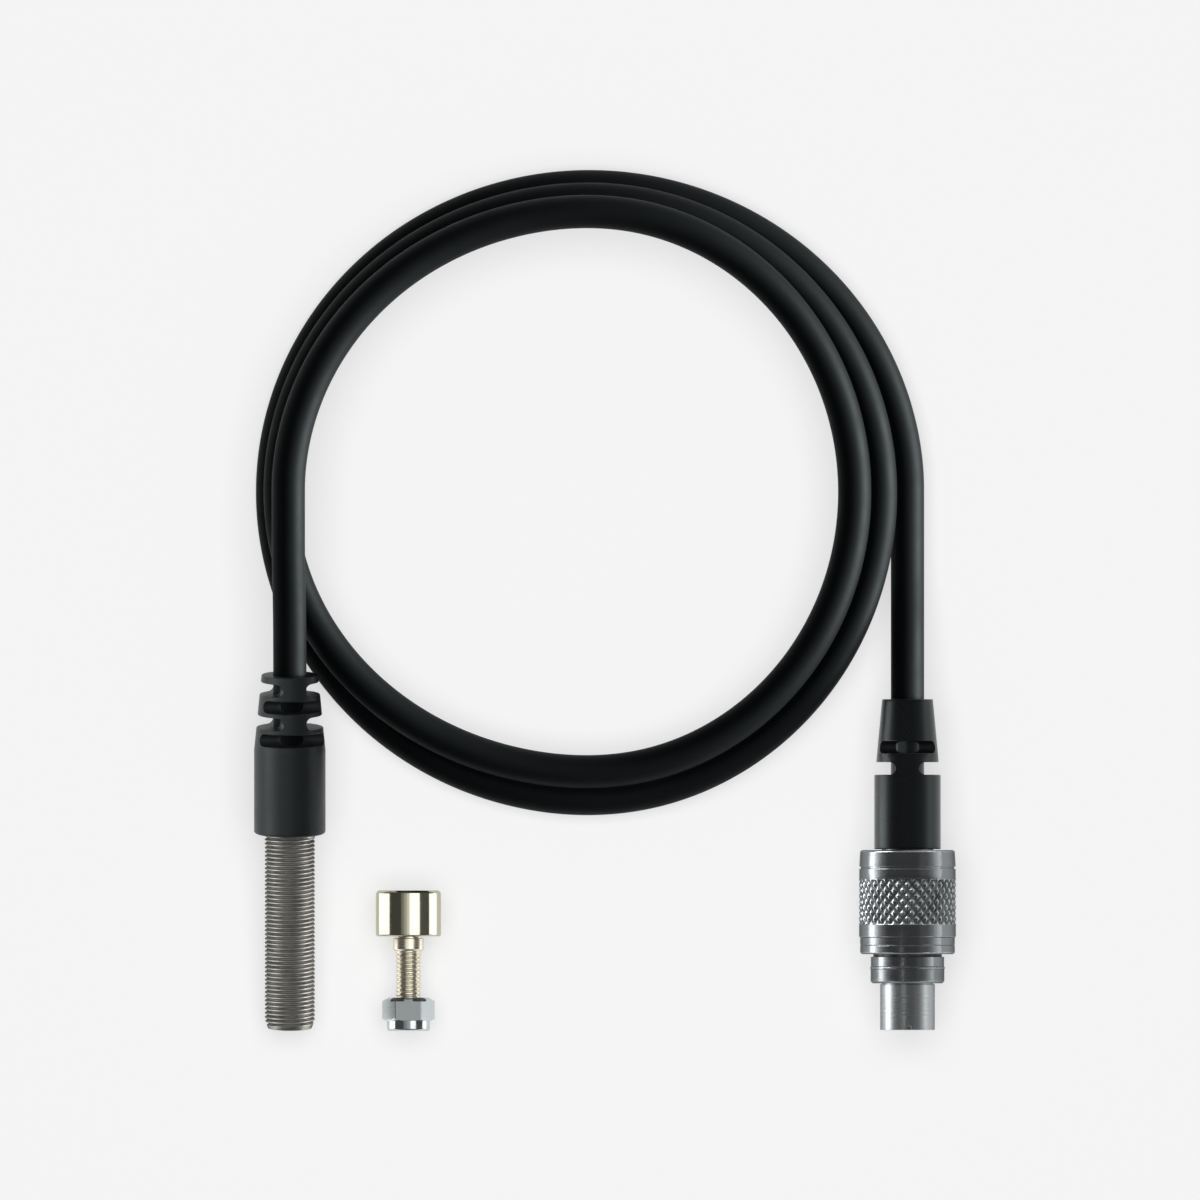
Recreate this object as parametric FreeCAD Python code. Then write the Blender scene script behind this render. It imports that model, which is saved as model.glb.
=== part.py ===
"""Threaded magnetic pickup on a coiled lead with a screw-lock plug, and its magnet on a stud.

Everything lies on a flat surface at z = 0. X runs from the pickup towards the plug, Y from the
pickup's tip towards the coil. Lengths are millimetres. Each sub-assembly is turned and bored about
its own Z axis, which runs from its cable end or magnet face to its far end, with Y towards the
viewer above, and is then laid in its place.
"""
import FreeCAD
import Part
import math
import os

V = FreeCAD.Vector

# Cable
cable_diameter = 4.0
core_diameter = 0.9
core_uses = ("supply", "ground", "signal")
moulding_gap = 0.05
running_gap = 0.075
face_gap = 0.1

# Thread form, as shares of the pitch
thread_mouth_share = 0.8
thread_root_share = 0.12

# Moulded boots, with slots cut in turn from the sides and from the front and back
slot_width = 1.5
web_width = 2.76
ferrule_thickness = 0.55
ferrule_length = 1.6

# Pickup boot
sensor_boot_length = 19.2
sensor_boot_diameter = 8.58
sensor_boot_end_diameter = 6.8
sensor_taper_length = 9.1
sensor_boot_edge = 0.35
sensor_first_slot = 0.84
sensor_slot_pitch = 2.0
sensor_slot_count = 4
sensor_boot_roll = -10.0
sensor_cable_depth = 12.0

# Pickup barrel
barrel_major_diameter = 6.0
barrel_pitch = 0.5
barrel_thread_depth = 0.27
barrel_bore_diameter = 4.6
barrel_thread_length = 23.1
barrel_collar_length = 0.5
barrel_tail_diameter = 5.5
barrel_tail_length = 3.7
barrel_anchor_diameter = 5.9
barrel_anchor_length = 1.2
barrel_anchor_setback = 1.7
tip_chamfer_length = 1.04
tip_diameter = 5.27
sensing_face_thickness = 1.2

# Inside the barrel
potting_setback = 1.0
board_width = 3.7
board_thickness = 0.8
board_length = 16.0
board_tip_gap = 5.3
chip_width = 3.0
chip_length = 2.9
chip_thickness = 1.3
leg_width = 0.35
leg_thickness = 0.25
leg_spacing = 1.0
leg_overlap = 1.2
wire_spacing = 1.1
wire_overlap = 2.2
part_count = 4
part_length = 1.0
part_width = 1.6
part_height = 0.5
part_pitch = 2.6

# How the pickup and the magnet lie
sensor_tilt = 8.0
target_spacing = 14.23

# Magnet on its stud
cup_diameter = 7.8
cup_length = 5.52
cup_wall = 0.6
cup_base = 1.2
cup_chamfer = 0.3
magnet_recess = 0.1
collar_diameter = 3.66
collar_length = 1.5
collar_neck_length = 0.25
collar_neck_diameter = 3.3
collar_chamfer = 0.2
collar_lip = 0.1
stud_major_diameter = 3.0
stud_pitch = 0.5
stud_thread_depth = 0.27
stud_length = 9.6
stud_tip_chamfer = 0.3
nut_across_flats = 5.5
nut_hex_height = 2.75
nut_height = 4.0
nut_end_diameter = 5.1
nut_corner_chamfer = 0.4
nut_thread_gap = 0.04
insert_height = 1.2
insert_wall = 0.5
nut_lip = 0.2
nut_lip_diameter = 3.7

# Plug boot
plug_boot_length = 18.0
plug_boot_diameter = 7.97
plug_boot_end_diameter = 6.1
plug_boot_step_diameter = 7.8
plug_taper_length = 9.1
plug_first_slot = 5.0
plug_slot_pitch = 2.56
plug_slot_count = 2
plug_cable_depth = 11.0

# Plug shell and what it holds
spigot_diameter = 6.55
shell_body_diameter = 6.2
shell_bore_diameter = 5.4
shell_tail_diameter = 6.1
shell_tail_length = 4.1
shell_flange_diameter = 8.0
shell_flange_length = 1.2
shell_flange_setback = 6.0
spigot_length = 5.6
notch_width = 0.66
notch_depth = 0.5
notch_offset = 0.2
insert_length = 11.8
pin_recess = 0.8
pin_standout = 2.9
pin_diameter = 0.7
pin_circle_diameter = 2.5
pin_tail = 1.2
pin_gap = 0.03
core_end_gap = 0.2
seal_section = 0.7

# Coupling ring with its nose
ring_length = 12.5
ring_rear_diameter = 11.38
ring_band_diameter = 11.58
ring_knurl_diameter = 11.64
ring_front_diameter = 11.38
ring_edge = 0.2
ring_rear_band = 2.0
ring_line_width = 0.25
ring_line_depth = 0.08
ring_knurl_start = 3.5
ring_knurl_length = 5.45
ring_front_band = 1.45
nose_length = 3.5
nose_diameter = 8.8
nose_bead_diameter = 9.0
nose_bead_start = 1.5
nose_bead_width = 0.3
nose_front_diameter = 8.86
nose_chamfer = 0.25
circlip_thickness = 0.6
circlip_depth = 0.35
circlip_width = 0.85
circlip_opening = 1.6

# Coil: half-widths of the loops from the coil's centre, and heights of the cable's centre
coil_centre_x = 29.0
coil_centre_y = 43.05
plug_axis_x = 67.2
plug_entry_y = 18.2
coil_left = [36.1, 37.1, 38.0]
coil_top = [33.66, 35.16, 36.66]
coil_right = [31.86, 34.98, 38.2]
coil_bottom = [33.54, 36.78]
height_left = [10.95, 6.5, 2.0]
height_top = [10.6, 6.25, 2.0]
height_right = [9.2, 5.9, 2.65]
height_bottom = [5.4, 2.0]
coil_end_run = cable_diameter
lead_first_run = 4.8


def turned(outline):
    """Solid of revolution about Z from (radius, height) points."""
    points = [V(radius, 0, height) for radius, height in outline]
    face = Part.Face(Part.makePolygon(points + [points[0]]))
    return face.revolve(V(0, 0, 0), V(0, 0, 1), 360)


def rod(radius, start, end, x=0.0, y=0.0):
    """Round bar along Z."""
    return Part.makeCylinder(radius, end - start, V(x, y, start))


def block(width, depth, start, end, x=0.0, y=0.0):
    """Rectangular bar along Z, centred on x and y."""
    return Part.makeBox(width, depth, end - start, V(x - width / 2, y - depth / 2, start))


def thread_rings(major, pitch, depth, start, end):
    """Outline points of a threaded stretch, its grooves drawn as rings one pitch apart."""
    half_mouth = thread_mouth_share * pitch / 2
    half_root = thread_root_share * pitch / 2
    points = []
    for index in range(int((end - start) / pitch)):
        middle = start + (index + 0.5) * pitch
        points += [(major / 2, middle - half_mouth), (major / 2 - depth, middle - half_root),
                   (major / 2 - depth, middle + half_root), (major / 2, middle + half_mouth)]
    return points


def relief_slot(start, reach, from_sides):
    """Pair of facing slots with round bottoms that leave two webs."""
    radius = slot_width / 2
    middle = start + radius
    floor = web_width / 2 + radius
    cutters = []
    for side in (-1, 1):
        box = Part.makeBox(reach, 2 * reach, slot_width, V(0, -reach, start))
        box.translate(V(floor if side > 0 else -floor - reach, 0, 0))
        bottom = Part.makeCylinder(radius, 2 * reach, V(side * floor, -reach, middle), V(0, 1, 0))
        cutters.append(box.fuse(bottom))
    pair = Part.makeCompound(cutters)
    if not from_sides:
        pair.rotate(V(0, 0, 0), V(0, 0, 1), 90)
    return pair


def sensor_axis():
    """Direction of the pickup's axis, from its cable end to its tip."""
    tilt = math.radians(sensor_tilt)
    return V(0, -math.cos(tilt), -math.sin(tilt))


sensor_length = sensor_boot_length + barrel_collar_length + barrel_thread_length
target_length = (cup_length + collar_neck_length + collar_length + stud_length)
tilt_cos = math.cos(math.radians(sensor_tilt))
tilt_sin = math.sin(math.radians(sensor_tilt))

# The pickup rests on the last full thread, its cable end held up by the cable on the coil
head_width = sensor_boot_diameter / 2 + target_spacing + cup_diameter / 2
sensor_x = sensor_boot_diameter / 2 - head_width / 2
target_x = head_width / 2 - cup_diameter / 2
exit_lean = sensor_boot_end_diameter / 2 * tilt_sin
tip_lean = tip_diameter / 2 * tilt_sin
head_depth = exit_lean + sensor_length * tilt_cos + tip_lean
exit_y = head_depth / 2 - exit_lean
exit_z = (sensor_length - tip_chamfer_length) * tilt_sin + barrel_major_diameter / 2 * tilt_cos
sensor_exit = V(sensor_x, exit_y, exit_z)
plug_axis_z = ring_knurl_diameter / 2
plug_entry = V(plug_axis_x, plug_entry_y, plug_axis_z)
target_face = V(target_x, target_length - head_depth / 2, cup_diameter / 2)


def laid(shape, origin, axis):
    """Shape moved so that its Z axis lies along the given axis, with its Y turned upwards."""
    across = V(1, 0, 0)
    placement = FreeCAD.Placement(origin, FreeCAD.Rotation(across, axis.cross(across), axis, "ZXY"))
    result = shape.copy()
    result.transformShape(placement.toMatrix(), True)
    return result


def boot(outline, bore, first_slot, pitch, count, first_from_sides):
    """Moulded boot: outer turning, stepped bore and alternating relief slots."""
    shape = turned(outline).cut(turned(bore))
    reach = max(radius for radius, height in outline) + 1
    for index in range(count):
        from_sides = (index % 2 == 0) == first_from_sides
        shape = shape.cut(relief_slot(first_slot + index * pitch, reach, from_sides))
    return shape


def ferrule(end):
    """Crimp ring on the cable's jacket."""
    inner = cable_diameter / 2 + moulding_gap
    outer = inner + ferrule_thickness
    return rod(outer, end - ferrule_length, end).cut(rod(inner, end - ferrule_length, end))


def entry_bore(cable_depth):
    """Bore outline from the mouth of a boot to the end of its cable, with the ferrule's pocket."""
    jacket = cable_diameter / 2 + moulding_gap
    pocket = jacket + ferrule_thickness + moulding_gap
    pocket_start = cable_depth - ferrule_length - moulding_gap
    return [(0, 0), (jacket, 0), (jacket, pocket_start), (pocket, pocket_start),
            (pocket, cable_depth + moulding_gap)]


def sensor_parts():
    """Pieces of the pickup, from the cable exit at 0 to the tip."""
    parts = {}
    boot_radius = sensor_boot_diameter / 2
    tail_radius = barrel_tail_diameter / 2
    anchor_radius = barrel_anchor_diameter / 2
    tail_start = sensor_boot_length - barrel_tail_length
    anchor_end = sensor_boot_length - barrel_anchor_setback
    anchor_start = anchor_end - barrel_anchor_length
    thread_start = sensor_boot_length + barrel_collar_length
    tip = thread_start + barrel_thread_length
    major = barrel_major_diameter / 2
    bore = barrel_bore_diameter / 2

    outline = [(0, 0), (sensor_boot_end_diameter / 2, 0), (boot_radius, sensor_taper_length),
               (boot_radius, sensor_boot_length - sensor_boot_edge),
               (boot_radius - sensor_boot_edge / 2, sensor_boot_length), (0, sensor_boot_length)]
    throat = cable_diameter / 2 - moulding_gap
    cable_end = sensor_cable_depth + moulding_gap
    inside = entry_bore(sensor_cable_depth)
    inside += [(throat, cable_end), (throat, tail_start - moulding_gap)]
    inside += [(tail_radius + moulding_gap, tail_start - moulding_gap),
               (tail_radius + moulding_gap, anchor_start - moulding_gap),
               (anchor_radius + moulding_gap, anchor_start - moulding_gap),
               (anchor_radius + moulding_gap, anchor_end + moulding_gap),
               (tail_radius + moulding_gap, anchor_end + moulding_gap),
               (tail_radius + moulding_gap, sensor_boot_length), (0, sensor_boot_length)]
    moulded = boot(outline, inside, sensor_first_slot, sensor_slot_pitch, sensor_slot_count, True)
    moulded.rotate(V(0, 0, 0), V(0, 0, 1), sensor_boot_roll)
    parts["sensor_boot"] = moulded
    parts["sensor_ferrule"] = ferrule(sensor_cable_depth)
    parts["cable_tail_sensor"] = rod(cable_diameter / 2, 0, sensor_cable_depth)

    tube = [(bore, tail_start), (tail_radius, tail_start), (tail_radius, anchor_start),
            (anchor_radius, anchor_start), (anchor_radius, anchor_end), (tail_radius, anchor_end),
            (tail_radius, sensor_boot_length + moulding_gap), (major, sensor_boot_length + moulding_gap)]
    tube += thread_rings(barrel_major_diameter, barrel_pitch, barrel_thread_depth,
                         thread_start, tip - tip_chamfer_length)
    tube += [(major, tip - tip_chamfer_length), (tip_diameter / 2, tip), (bore, tip)]
    parts["threaded_barrel"] = turned(tube)

    inner = bore - moulding_gap
    face_start = tip - sensing_face_thickness
    parts["sensing_face"] = rod(inner, face_start, tip)
    resin_end = face_start - moulding_gap
    resin = rod(inner, tail_start + potting_setback, resin_end)

    chip_end = resin_end - moulding_gap
    chip_start = chip_end - chip_length
    board_end = tip - board_tip_gap
    board_start = board_end - board_length
    board_top = board_thickness / 2
    leg_start = board_end - leg_overlap
    leg_y = board_top + leg_thickness / 2 + moulding_gap / 2
    wire_end = board_start + wire_overlap
    wire_y = board_top + core_diameter / 2 + moulding_gap / 2
    chip_y = leg_y
    parts["sensor_board"] = block(board_width, board_thickness, board_start, board_end)
    parts["hall_sensor_chip"] = block(chip_width, chip_thickness, chip_start, chip_end, 0, chip_y)
    legs = [block(leg_width, leg_thickness, leg_start, chip_start, side * leg_spacing, leg_y)
            for side in (-1, 0, 1)]
    parts["chip_leads"] = Part.makeCompound(legs)
    first_part = wire_end + part_length
    chips = [block(part_width, part_height, first_part + index * part_pitch,
                   first_part + index * part_pitch + part_length, 0,
                   board_top + part_height / 2 + moulding_gap / 2) for index in range(part_count)]
    parts["board_components"] = Part.makeCompound(chips)
    middle_core = (len(core_uses) - 1) / 2
    for index, use in enumerate(core_uses):
        wire_x = (index - middle_core) * wire_spacing
        parts["sensor_wire_" + use] = rod(core_diameter / 2, cable_end, wire_end, wire_x, wire_y)

    slot_end = board_end + moulding_gap
    board_slot = block(board_width + 2 * moulding_gap, board_thickness + 2 * moulding_gap,
                       tail_start, slot_end)
    low = chip_y - chip_thickness / 2 - moulding_gap
    high = max(wire_y + core_diameter / 2, chip_y + chip_thickness / 2) + moulding_gap
    wide = max(chip_width, 2 * middle_core * wire_spacing + core_diameter) + 2 * moulding_gap
    part_slot = block(wide, high - low, tail_start, resin_end - moulding_gap / 2, 0, (low + high) / 2)
    parts["potting_resin"] = resin.cut(board_slot).cut(part_slot)
    return parts


def plug_parts():
    """Pieces of the plug, from the cable entry at 0 to the end of the spigot."""
    parts = {}
    boot_radius = plug_boot_diameter / 2
    tail_radius = shell_tail_diameter / 2
    spigot_radius = spigot_diameter / 2
    body_radius = shell_body_diameter / 2
    bore = shell_bore_diameter / 2
    ring_start = plug_boot_length + face_gap
    ring_end = ring_start + ring_length
    nose_end = ring_end + nose_length
    spigot_end = nose_end + spigot_length
    tail_start = plug_boot_length - shell_tail_length + face_gap
    flange_start = plug_boot_length + shell_flange_setback
    flange_end = flange_start + shell_flange_length

    outline = [(0, 0), (plug_boot_end_diameter / 2, 0),
               (plug_boot_step_diameter / 2, plug_taper_length), (boot_radius, plug_taper_length),
               (boot_radius, plug_boot_length), (0, plug_boot_length)]
    throat = cable_diameter / 2 - moulding_gap
    cable_end = plug_cable_depth + moulding_gap
    inside = entry_bore(plug_cable_depth)
    inside += [(throat, cable_end), (throat, tail_start - moulding_gap),
               (tail_radius + moulding_gap, tail_start - moulding_gap),
               (tail_radius + moulding_gap, plug_boot_length), (0, plug_boot_length)]
    parts["plug_boot"] = boot(outline, inside, plug_first_slot, plug_slot_pitch, plug_slot_count, False)
    parts["plug_ferrule"] = ferrule(plug_cable_depth)
    parts["cable_tail_plug"] = rod(cable_diameter / 2, 0, plug_cable_depth)

    flange_radius = shell_flange_diameter / 2
    shell = turned([(bore, tail_start), (tail_radius, tail_start), (tail_radius, plug_boot_length),
                    (body_radius, plug_boot_length), (body_radius, flange_start),
                    (flange_radius, flange_start), (flange_radius, flange_end),
                    (body_radius, flange_end), (body_radius, nose_end + face_gap),
                    (spigot_radius, nose_end + face_gap), (spigot_radius, spigot_end), (bore, spigot_end)])
    notch_radius = notch_width / 2
    notch_floor = spigot_end - notch_depth + notch_radius
    notch = Part.makeCylinder(notch_radius, spigot_radius, V(notch_offset, 0, notch_floor), V(0, 1, 0))
    mouth = Part.makeBox(notch_width, spigot_radius, notch_depth,
                         V(notch_offset - notch_radius, 0, notch_floor))
    parts["plug_shell"] = shell.cut(notch.fuse(mouth))

    insert_end = spigot_end - pin_recess - pin_standout
    insert_start = insert_end - insert_length
    pin_start = insert_start - pin_tail
    core_start = tail_start + core_end_gap
    core_end = insert_start - core_end_gap
    insert = rod(bore - moulding_gap, insert_start, insert_end)
    core = rod(bore - moulding_gap, core_start, core_end)
    pins = []
    core_bore = core_diameter / 2 + moulding_gap
    for index, use in enumerate(core_uses):
        angle = math.radians(90 + 360 * index / len(core_uses))
        x = pin_circle_diameter / 2 * math.cos(angle)
        y = pin_circle_diameter / 2 * math.sin(angle)
        insert = insert.cut(rod(pin_diameter / 2 + pin_gap, insert_start, insert_end, x, y))
        core = core.cut(rod(core_bore, core_start, core_end, x, y))
        point = Part.makeCone(pin_diameter / 2, pin_diameter / 5, pin_diameter / 2,
                              V(x, y, spigot_end - pin_recess - pin_diameter / 2))
        pin = rod(pin_diameter / 2, pin_start, spigot_end - pin_recess - pin_diameter / 2, x, y)
        pins.append(pin.fuse(point).removeSplitter())
        parts["plug_wire_" + use] = rod(core_diameter / 2, cable_end, pin_start, x, y)
    parts["contact_insert"] = insert
    parts["plug_core"] = core
    parts["contact_pins"] = Part.makeCompound(pins)

    seal_radius = body_radius + seal_section / 2 + pin_gap
    seal_pocket = seal_radius + seal_section / 2 + running_gap
    seal_start = nose_end - seal_section - face_gap
    seal_centre = V(0, 0, nose_end - seal_section / 2 - face_gap / 2)
    parts["spigot_seal"] = Part.makeTorus(seal_radius, seal_section / 2, seal_centre)

    rear_bore = flange_radius + running_gap
    knurl_start = ring_start + ring_knurl_start
    knurl_end = knurl_start + ring_knurl_length
    front_start = knurl_end + ring_front_band
    line_start = ring_start + ring_rear_band
    line_end = line_start + ring_line_width
    bead_start = ring_end + nose_bead_start
    bead_end = bead_start + nose_bead_width
    groove_start = flange_start - face_gap - circlip_thickness
    groove_end = flange_start
    groove_radius = rear_bore + circlip_depth
    ring = turned([
        (rear_bore, ring_start), (ring_rear_diameter / 2 - ring_edge, ring_start),
        (ring_rear_diameter / 2, ring_start + ring_edge), (ring_band_diameter / 2, line_start),
        (ring_rear_diameter / 2 - ring_line_depth, line_start),
        (ring_rear_diameter / 2 - ring_line_depth, line_end),
        (ring_band_diameter / 2, line_end), (ring_knurl_diameter / 2, knurl_start),
        (ring_knurl_diameter / 2, front_start), (ring_front_diameter / 2, front_start + ring_edge / 2),
        (ring_front_diameter / 2, ring_end - ring_edge),
        (ring_front_diameter / 2 - ring_edge, ring_end), (nose_diameter / 2, ring_end),
        (nose_diameter / 2, bead_start), (nose_bead_diameter / 2, bead_start + nose_bead_width / 3),
        (nose_bead_diameter / 2, bead_end - nose_bead_width / 3), (nose_front_diameter / 2, bead_end),
        (nose_front_diameter / 2, nose_end - nose_chamfer),
        (nose_front_diameter / 2 - nose_chamfer, nose_end), (seal_pocket, nose_end),
        (seal_pocket, seal_start), (body_radius + running_gap, seal_start),
        (body_radius + running_gap, flange_end + face_gap), (rear_bore, flange_end + face_gap)])
    pocket = rod(groove_radius, groove_start, groove_end - face_gap / 2)
    parts["coupling_ring"] = ring.cut(pocket)
    clip_start = groove_start + moulding_gap / 2
    clip_end = clip_start + circlip_thickness - moulding_gap
    clip_outer = groove_radius - moulding_gap / 2
    clip = rod(clip_outer, clip_start, clip_end)
    clip = clip.cut(rod(clip_outer - circlip_width, clip_start, clip_end))
    clip = clip.cut(block(circlip_opening, 2 * clip_outer, clip_start, clip_end, 0, clip_outer))
    parts["ring_circlip"] = clip
    return parts


def hexagon(across_flats, start, end):
    """Hexagonal bar along Z, with one flat towards the viewer."""
    corner = across_flats / 2 / math.cos(math.radians(30))
    points = [V(corner * math.cos(math.radians(60 * step)), corner * math.sin(math.radians(60 * step)),
                start) for step in range(6)]
    return Part.Face(Part.makePolygon(points + [points[0]])).extrude(V(0, 0, end - start))


def target_parts():
    """Pieces of the magnet, from its face at 0 to the end of its stud."""
    parts = {}
    outer = cup_diameter / 2
    cavity = outer - cup_wall
    cavity_end = cup_length - cup_base
    stud_start = cup_length + collar_neck_length + collar_length
    stud_end = stud_start + stud_length
    root = stud_major_diameter / 2 - stud_thread_depth
    parts["magnet_cup"] = turned([
        (cavity, 0), (outer - cup_chamfer, 0), (outer, cup_chamfer),
        (outer, cup_length - cup_chamfer / 2), (outer - cup_chamfer / 2, cup_length),
        (root + moulding_gap, cup_length), (root + moulding_gap, cavity_end), (cavity, cavity_end)])
    parts["magnet_disc"] = rod(cavity - moulding_gap, magnet_recess, cavity_end - moulding_gap)
    neck_end = cup_length + collar_neck_length
    bar = [
        (0, cavity_end), (root, cavity_end), (root, cup_length + moulding_gap),
        (collar_neck_diameter / 2, cup_length + moulding_gap), (collar_neck_diameter / 2, neck_end),
        (collar_diameter / 2, neck_end), (collar_diameter / 2, stud_start - collar_chamfer),
        (stud_major_diameter / 2 + collar_lip, stud_start), (stud_major_diameter / 2, stud_start)]
    bar += thread_rings(stud_major_diameter, stud_pitch, stud_thread_depth,
                        stud_start, stud_end - stud_tip_chamfer)
    bar += [(stud_major_diameter / 2, stud_end - stud_tip_chamfer),
            (stud_major_diameter / 2 - stud_tip_chamfer, stud_end), (0, stud_end)]
    parts["magnet_stud"] = turned(bar)

    nut_end = stud_end
    nut_start = nut_end - nut_height
    hex_end = nut_start + nut_hex_height
    corner = nut_across_flats / 2 / math.cos(math.radians(30))
    limit = turned([
        (0, nut_start), (corner - nut_corner_chamfer * 2, nut_start),
        (corner, nut_start + nut_corner_chamfer), (corner, hex_end - nut_corner_chamfer / 2),
        (corner - nut_corner_chamfer, hex_end), (0, hex_end)])
    body = hexagon(nut_across_flats, nut_start, hex_end).common(limit)
    end_radius = nut_end_diameter / 2
    body = body.fuse(turned([(0, hex_end), (end_radius, hex_end), (end_radius, nut_end - nut_lip),
                             (end_radius - nut_lip, nut_end), (0, nut_end)]))
    hole = stud_major_diameter / 2 + nut_thread_gap
    seat = hole + insert_wall + moulding_gap
    seat_end = nut_end - nut_lip
    seat_start = seat_end - insert_height - 2 * moulding_gap
    lip = nut_lip_diameter / 2
    inside = turned([(0, nut_start), (hole, nut_start), (hole, seat_start), (seat, seat_start),
                     (seat, seat_end), (lip, seat_end), (lip, nut_end), (0, nut_end)])
    parts["lock_nut"] = body.cut(inside).removeSplitter()
    ring_start = seat_start + moulding_gap
    ring = rod(hole + insert_wall, ring_start, ring_start + insert_height)
    parts["nut_insert"] = ring.cut(rod(hole, ring_start, ring_start + insert_height))
    return parts


def arc_between(start, tangent, end):
    """Arc from start along tangent to end."""
    chord = end.sub(start)
    forward = chord.normalize()
    length = end.sub(start).Length
    lean = math.acos(max(-1.0, min(1.0, forward.dot(tangent))))
    side = tangent.sub(V(forward).multiply(forward.dot(tangent))).normalize()
    middle = start.add(end).multiply(0.5)
    return Part.Arc(start, middle.add(side.multiply(length / 2 * math.tan(lean / 2))), end).toShape()


def biarc(start, start_tangent, end, end_tangent):
    """Two tangent arcs that join two points along their tangents."""
    span = end.sub(start)
    both = start_tangent.add(end_tangent)
    a = 2 * (1 - start_tangent.dot(end_tangent))
    b = 2 * span.dot(both)
    reach = (-b + math.sqrt(b * b + 4 * a * span.dot(span))) / (2 * a)
    first = start.add(V(start_tangent).multiply(reach))
    second = end.sub(V(end_tangent).multiply(reach))
    joint = first.add(second).multiply(0.5)
    middle_tangent = second.sub(first).normalize()
    return [arc_between(start, start_tangent, joint), arc_between(joint, middle_tangent, end)]


def coil_stations():
    """Quarter-turn points of the coil and the cable's direction there, from pickup to plug."""
    stations = []
    for loop in range(3):
        stations.append((V(coil_centre_x - coil_left[loop], coil_centre_y, height_left[loop]), V(0, 1, 0)))
        stations.append((V(coil_centre_x, coil_centre_y + coil_top[loop], height_top[loop]), V(1, 0, 0)))
        stations.append((V(coil_centre_x + coil_right[loop], coil_centre_y, height_right[loop]),
                         V(0, -1, 0)))
        if loop < len(coil_bottom):
            stations.append((V(coil_centre_x, coil_centre_y - coil_bottom[loop], height_bottom[loop]),
                             V(-1, 0, 0)))
    return stations


def tube(edges, name):
    """Round cable along a path, with its volume compared with section times length."""
    path = Part.Wire(edges)
    start = path.Edges[0]
    direction = start.tangentAt(start.FirstParameter)
    section = Part.Wire([Part.makeCircle(cable_diameter / 2, edges[0].Vertexes[0].Point, direction)])
    solid = path.makePipeShell([section], True, False)
    plain = math.pi * cable_diameter ** 2 / 4 * path.Length
    print(name, "length", round(path.Length, 1), "volume ratio", round(solid.Volume / plain, 4))
    return solid


def least_gap(edges, step):
    """Least gap between stretches of a tube that lie more than half a turn apart."""
    points = []
    for edge in edges:
        points += edge.discretize(max(2, round(edge.Length / step)))[:-1]
    skip = round(3 * coil_left[0] / step)
    least = min(points[i].distanceToPoint(points[j])
                for i in range(len(points)) for j in range(i + skip, len(points)))
    return least - cable_diameter


def free_path(points, name):
    """Straight runs joined by tangent arcs as large as the runs allow."""
    edges = []
    here = points[0]
    for before, corner, after in zip(points, points[1:], points[2:]):
        incoming = corner.sub(before)
        outgoing = after.sub(corner)
        shorter = min(incoming.Length, outgoing.Length)
        turn = incoming.getAngle(outgoing)
        cut = 0.45 * shorter
        into = corner.sub(incoming.normalize().multiply(cut))
        out = corner.add(outgoing.normalize().multiply(cut))
        edges.append(Part.LineSegment(here, into).toShape())
        edges.append(arc_between(into, corner.sub(into).normalize(), out))
        print(name, "bend radius", round(cut / math.tan(turn / 2), 1))
        here = out
    edges.append(Part.LineSegment(here, points[-1]).toShape())
    return edges


def cable_parts():
    """Coil and the two free stretches of the cable."""
    stations = coil_stations()
    edges = []
    for (start, start_tangent), (end, end_tangent) in zip(stations, stations[1:]):
        edges += biarc(start, start_tangent, end, end_tangent)
    first, first_tangent = stations[0]
    last, last_tangent = stations[-1]
    coil_start = first.sub(V(first_tangent).multiply(coil_end_run))
    coil_end = last.add(V(last_tangent).multiply(coil_end_run))
    edges.insert(0, Part.LineSegment(coil_start, first).toShape())
    edges.append(Part.LineSegment(last, coil_end).toShape())
    print("coil least gap", round(least_gap(edges, 1.0), 3))

    back = sensor_axis().negative()
    sensor_route = [sensor_exit, sensor_exit.add(back.multiply(lead_first_run)), V(-7.0, 31.5, 10.5),
                    V(-7.1, 35.4, 10.95), coil_start]
    plug_route = [coil_end, V(67.2, 34.9, 2.65), V(67.2, 30.75, 3.45), V(67.2, 26.45, 5.05),
                  V(67.2, 22.35, plug_axis_z), plug_entry]
    return {"cable_coil": tube(edges, "coil"),
            "cable_lead_sensor": tube(free_path(sensor_route, "pickup lead"), "pickup lead"),
            "cable_lead_plug": tube(free_path(plug_route, "plug lead"), "plug lead")}


def main():
    """Build every piece, lay it in its place and write one file for each."""
    os.makedirs("parts", exist_ok=True)
    down = V(0, -1, 0)
    pieces = {name: laid(shape, sensor_exit, sensor_axis()) for name, shape in sensor_parts().items()}
    pieces.update({name: laid(shape, plug_entry, down) for name, shape in plug_parts().items()})
    pieces.update({name: laid(shape, target_face, down) for name, shape in target_parts().items()})
    pieces.update(cable_parts())
    for name, shape in pieces.items():
        shape.exportStep("parts/" + name + ".step")


main()
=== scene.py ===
"""Looks of the threaded pickup with its coiled lead, its plug, and its magnet on a stud.

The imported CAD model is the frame, and everything is placed in it in metres. Each sub-assembly is
worked out in millimetres about its own Z axis, which runs from its cable end or magnet face to its
far end, with X across and Y up towards the viewer, and is then laid in its place.
"""
import logging
import math
from collections.abc import Mapping
from dataclasses import dataclass
from enum import Enum
from functools import cache

import bpy
import numpy as np
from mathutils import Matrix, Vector
from numpy.typing import NDArray


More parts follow.
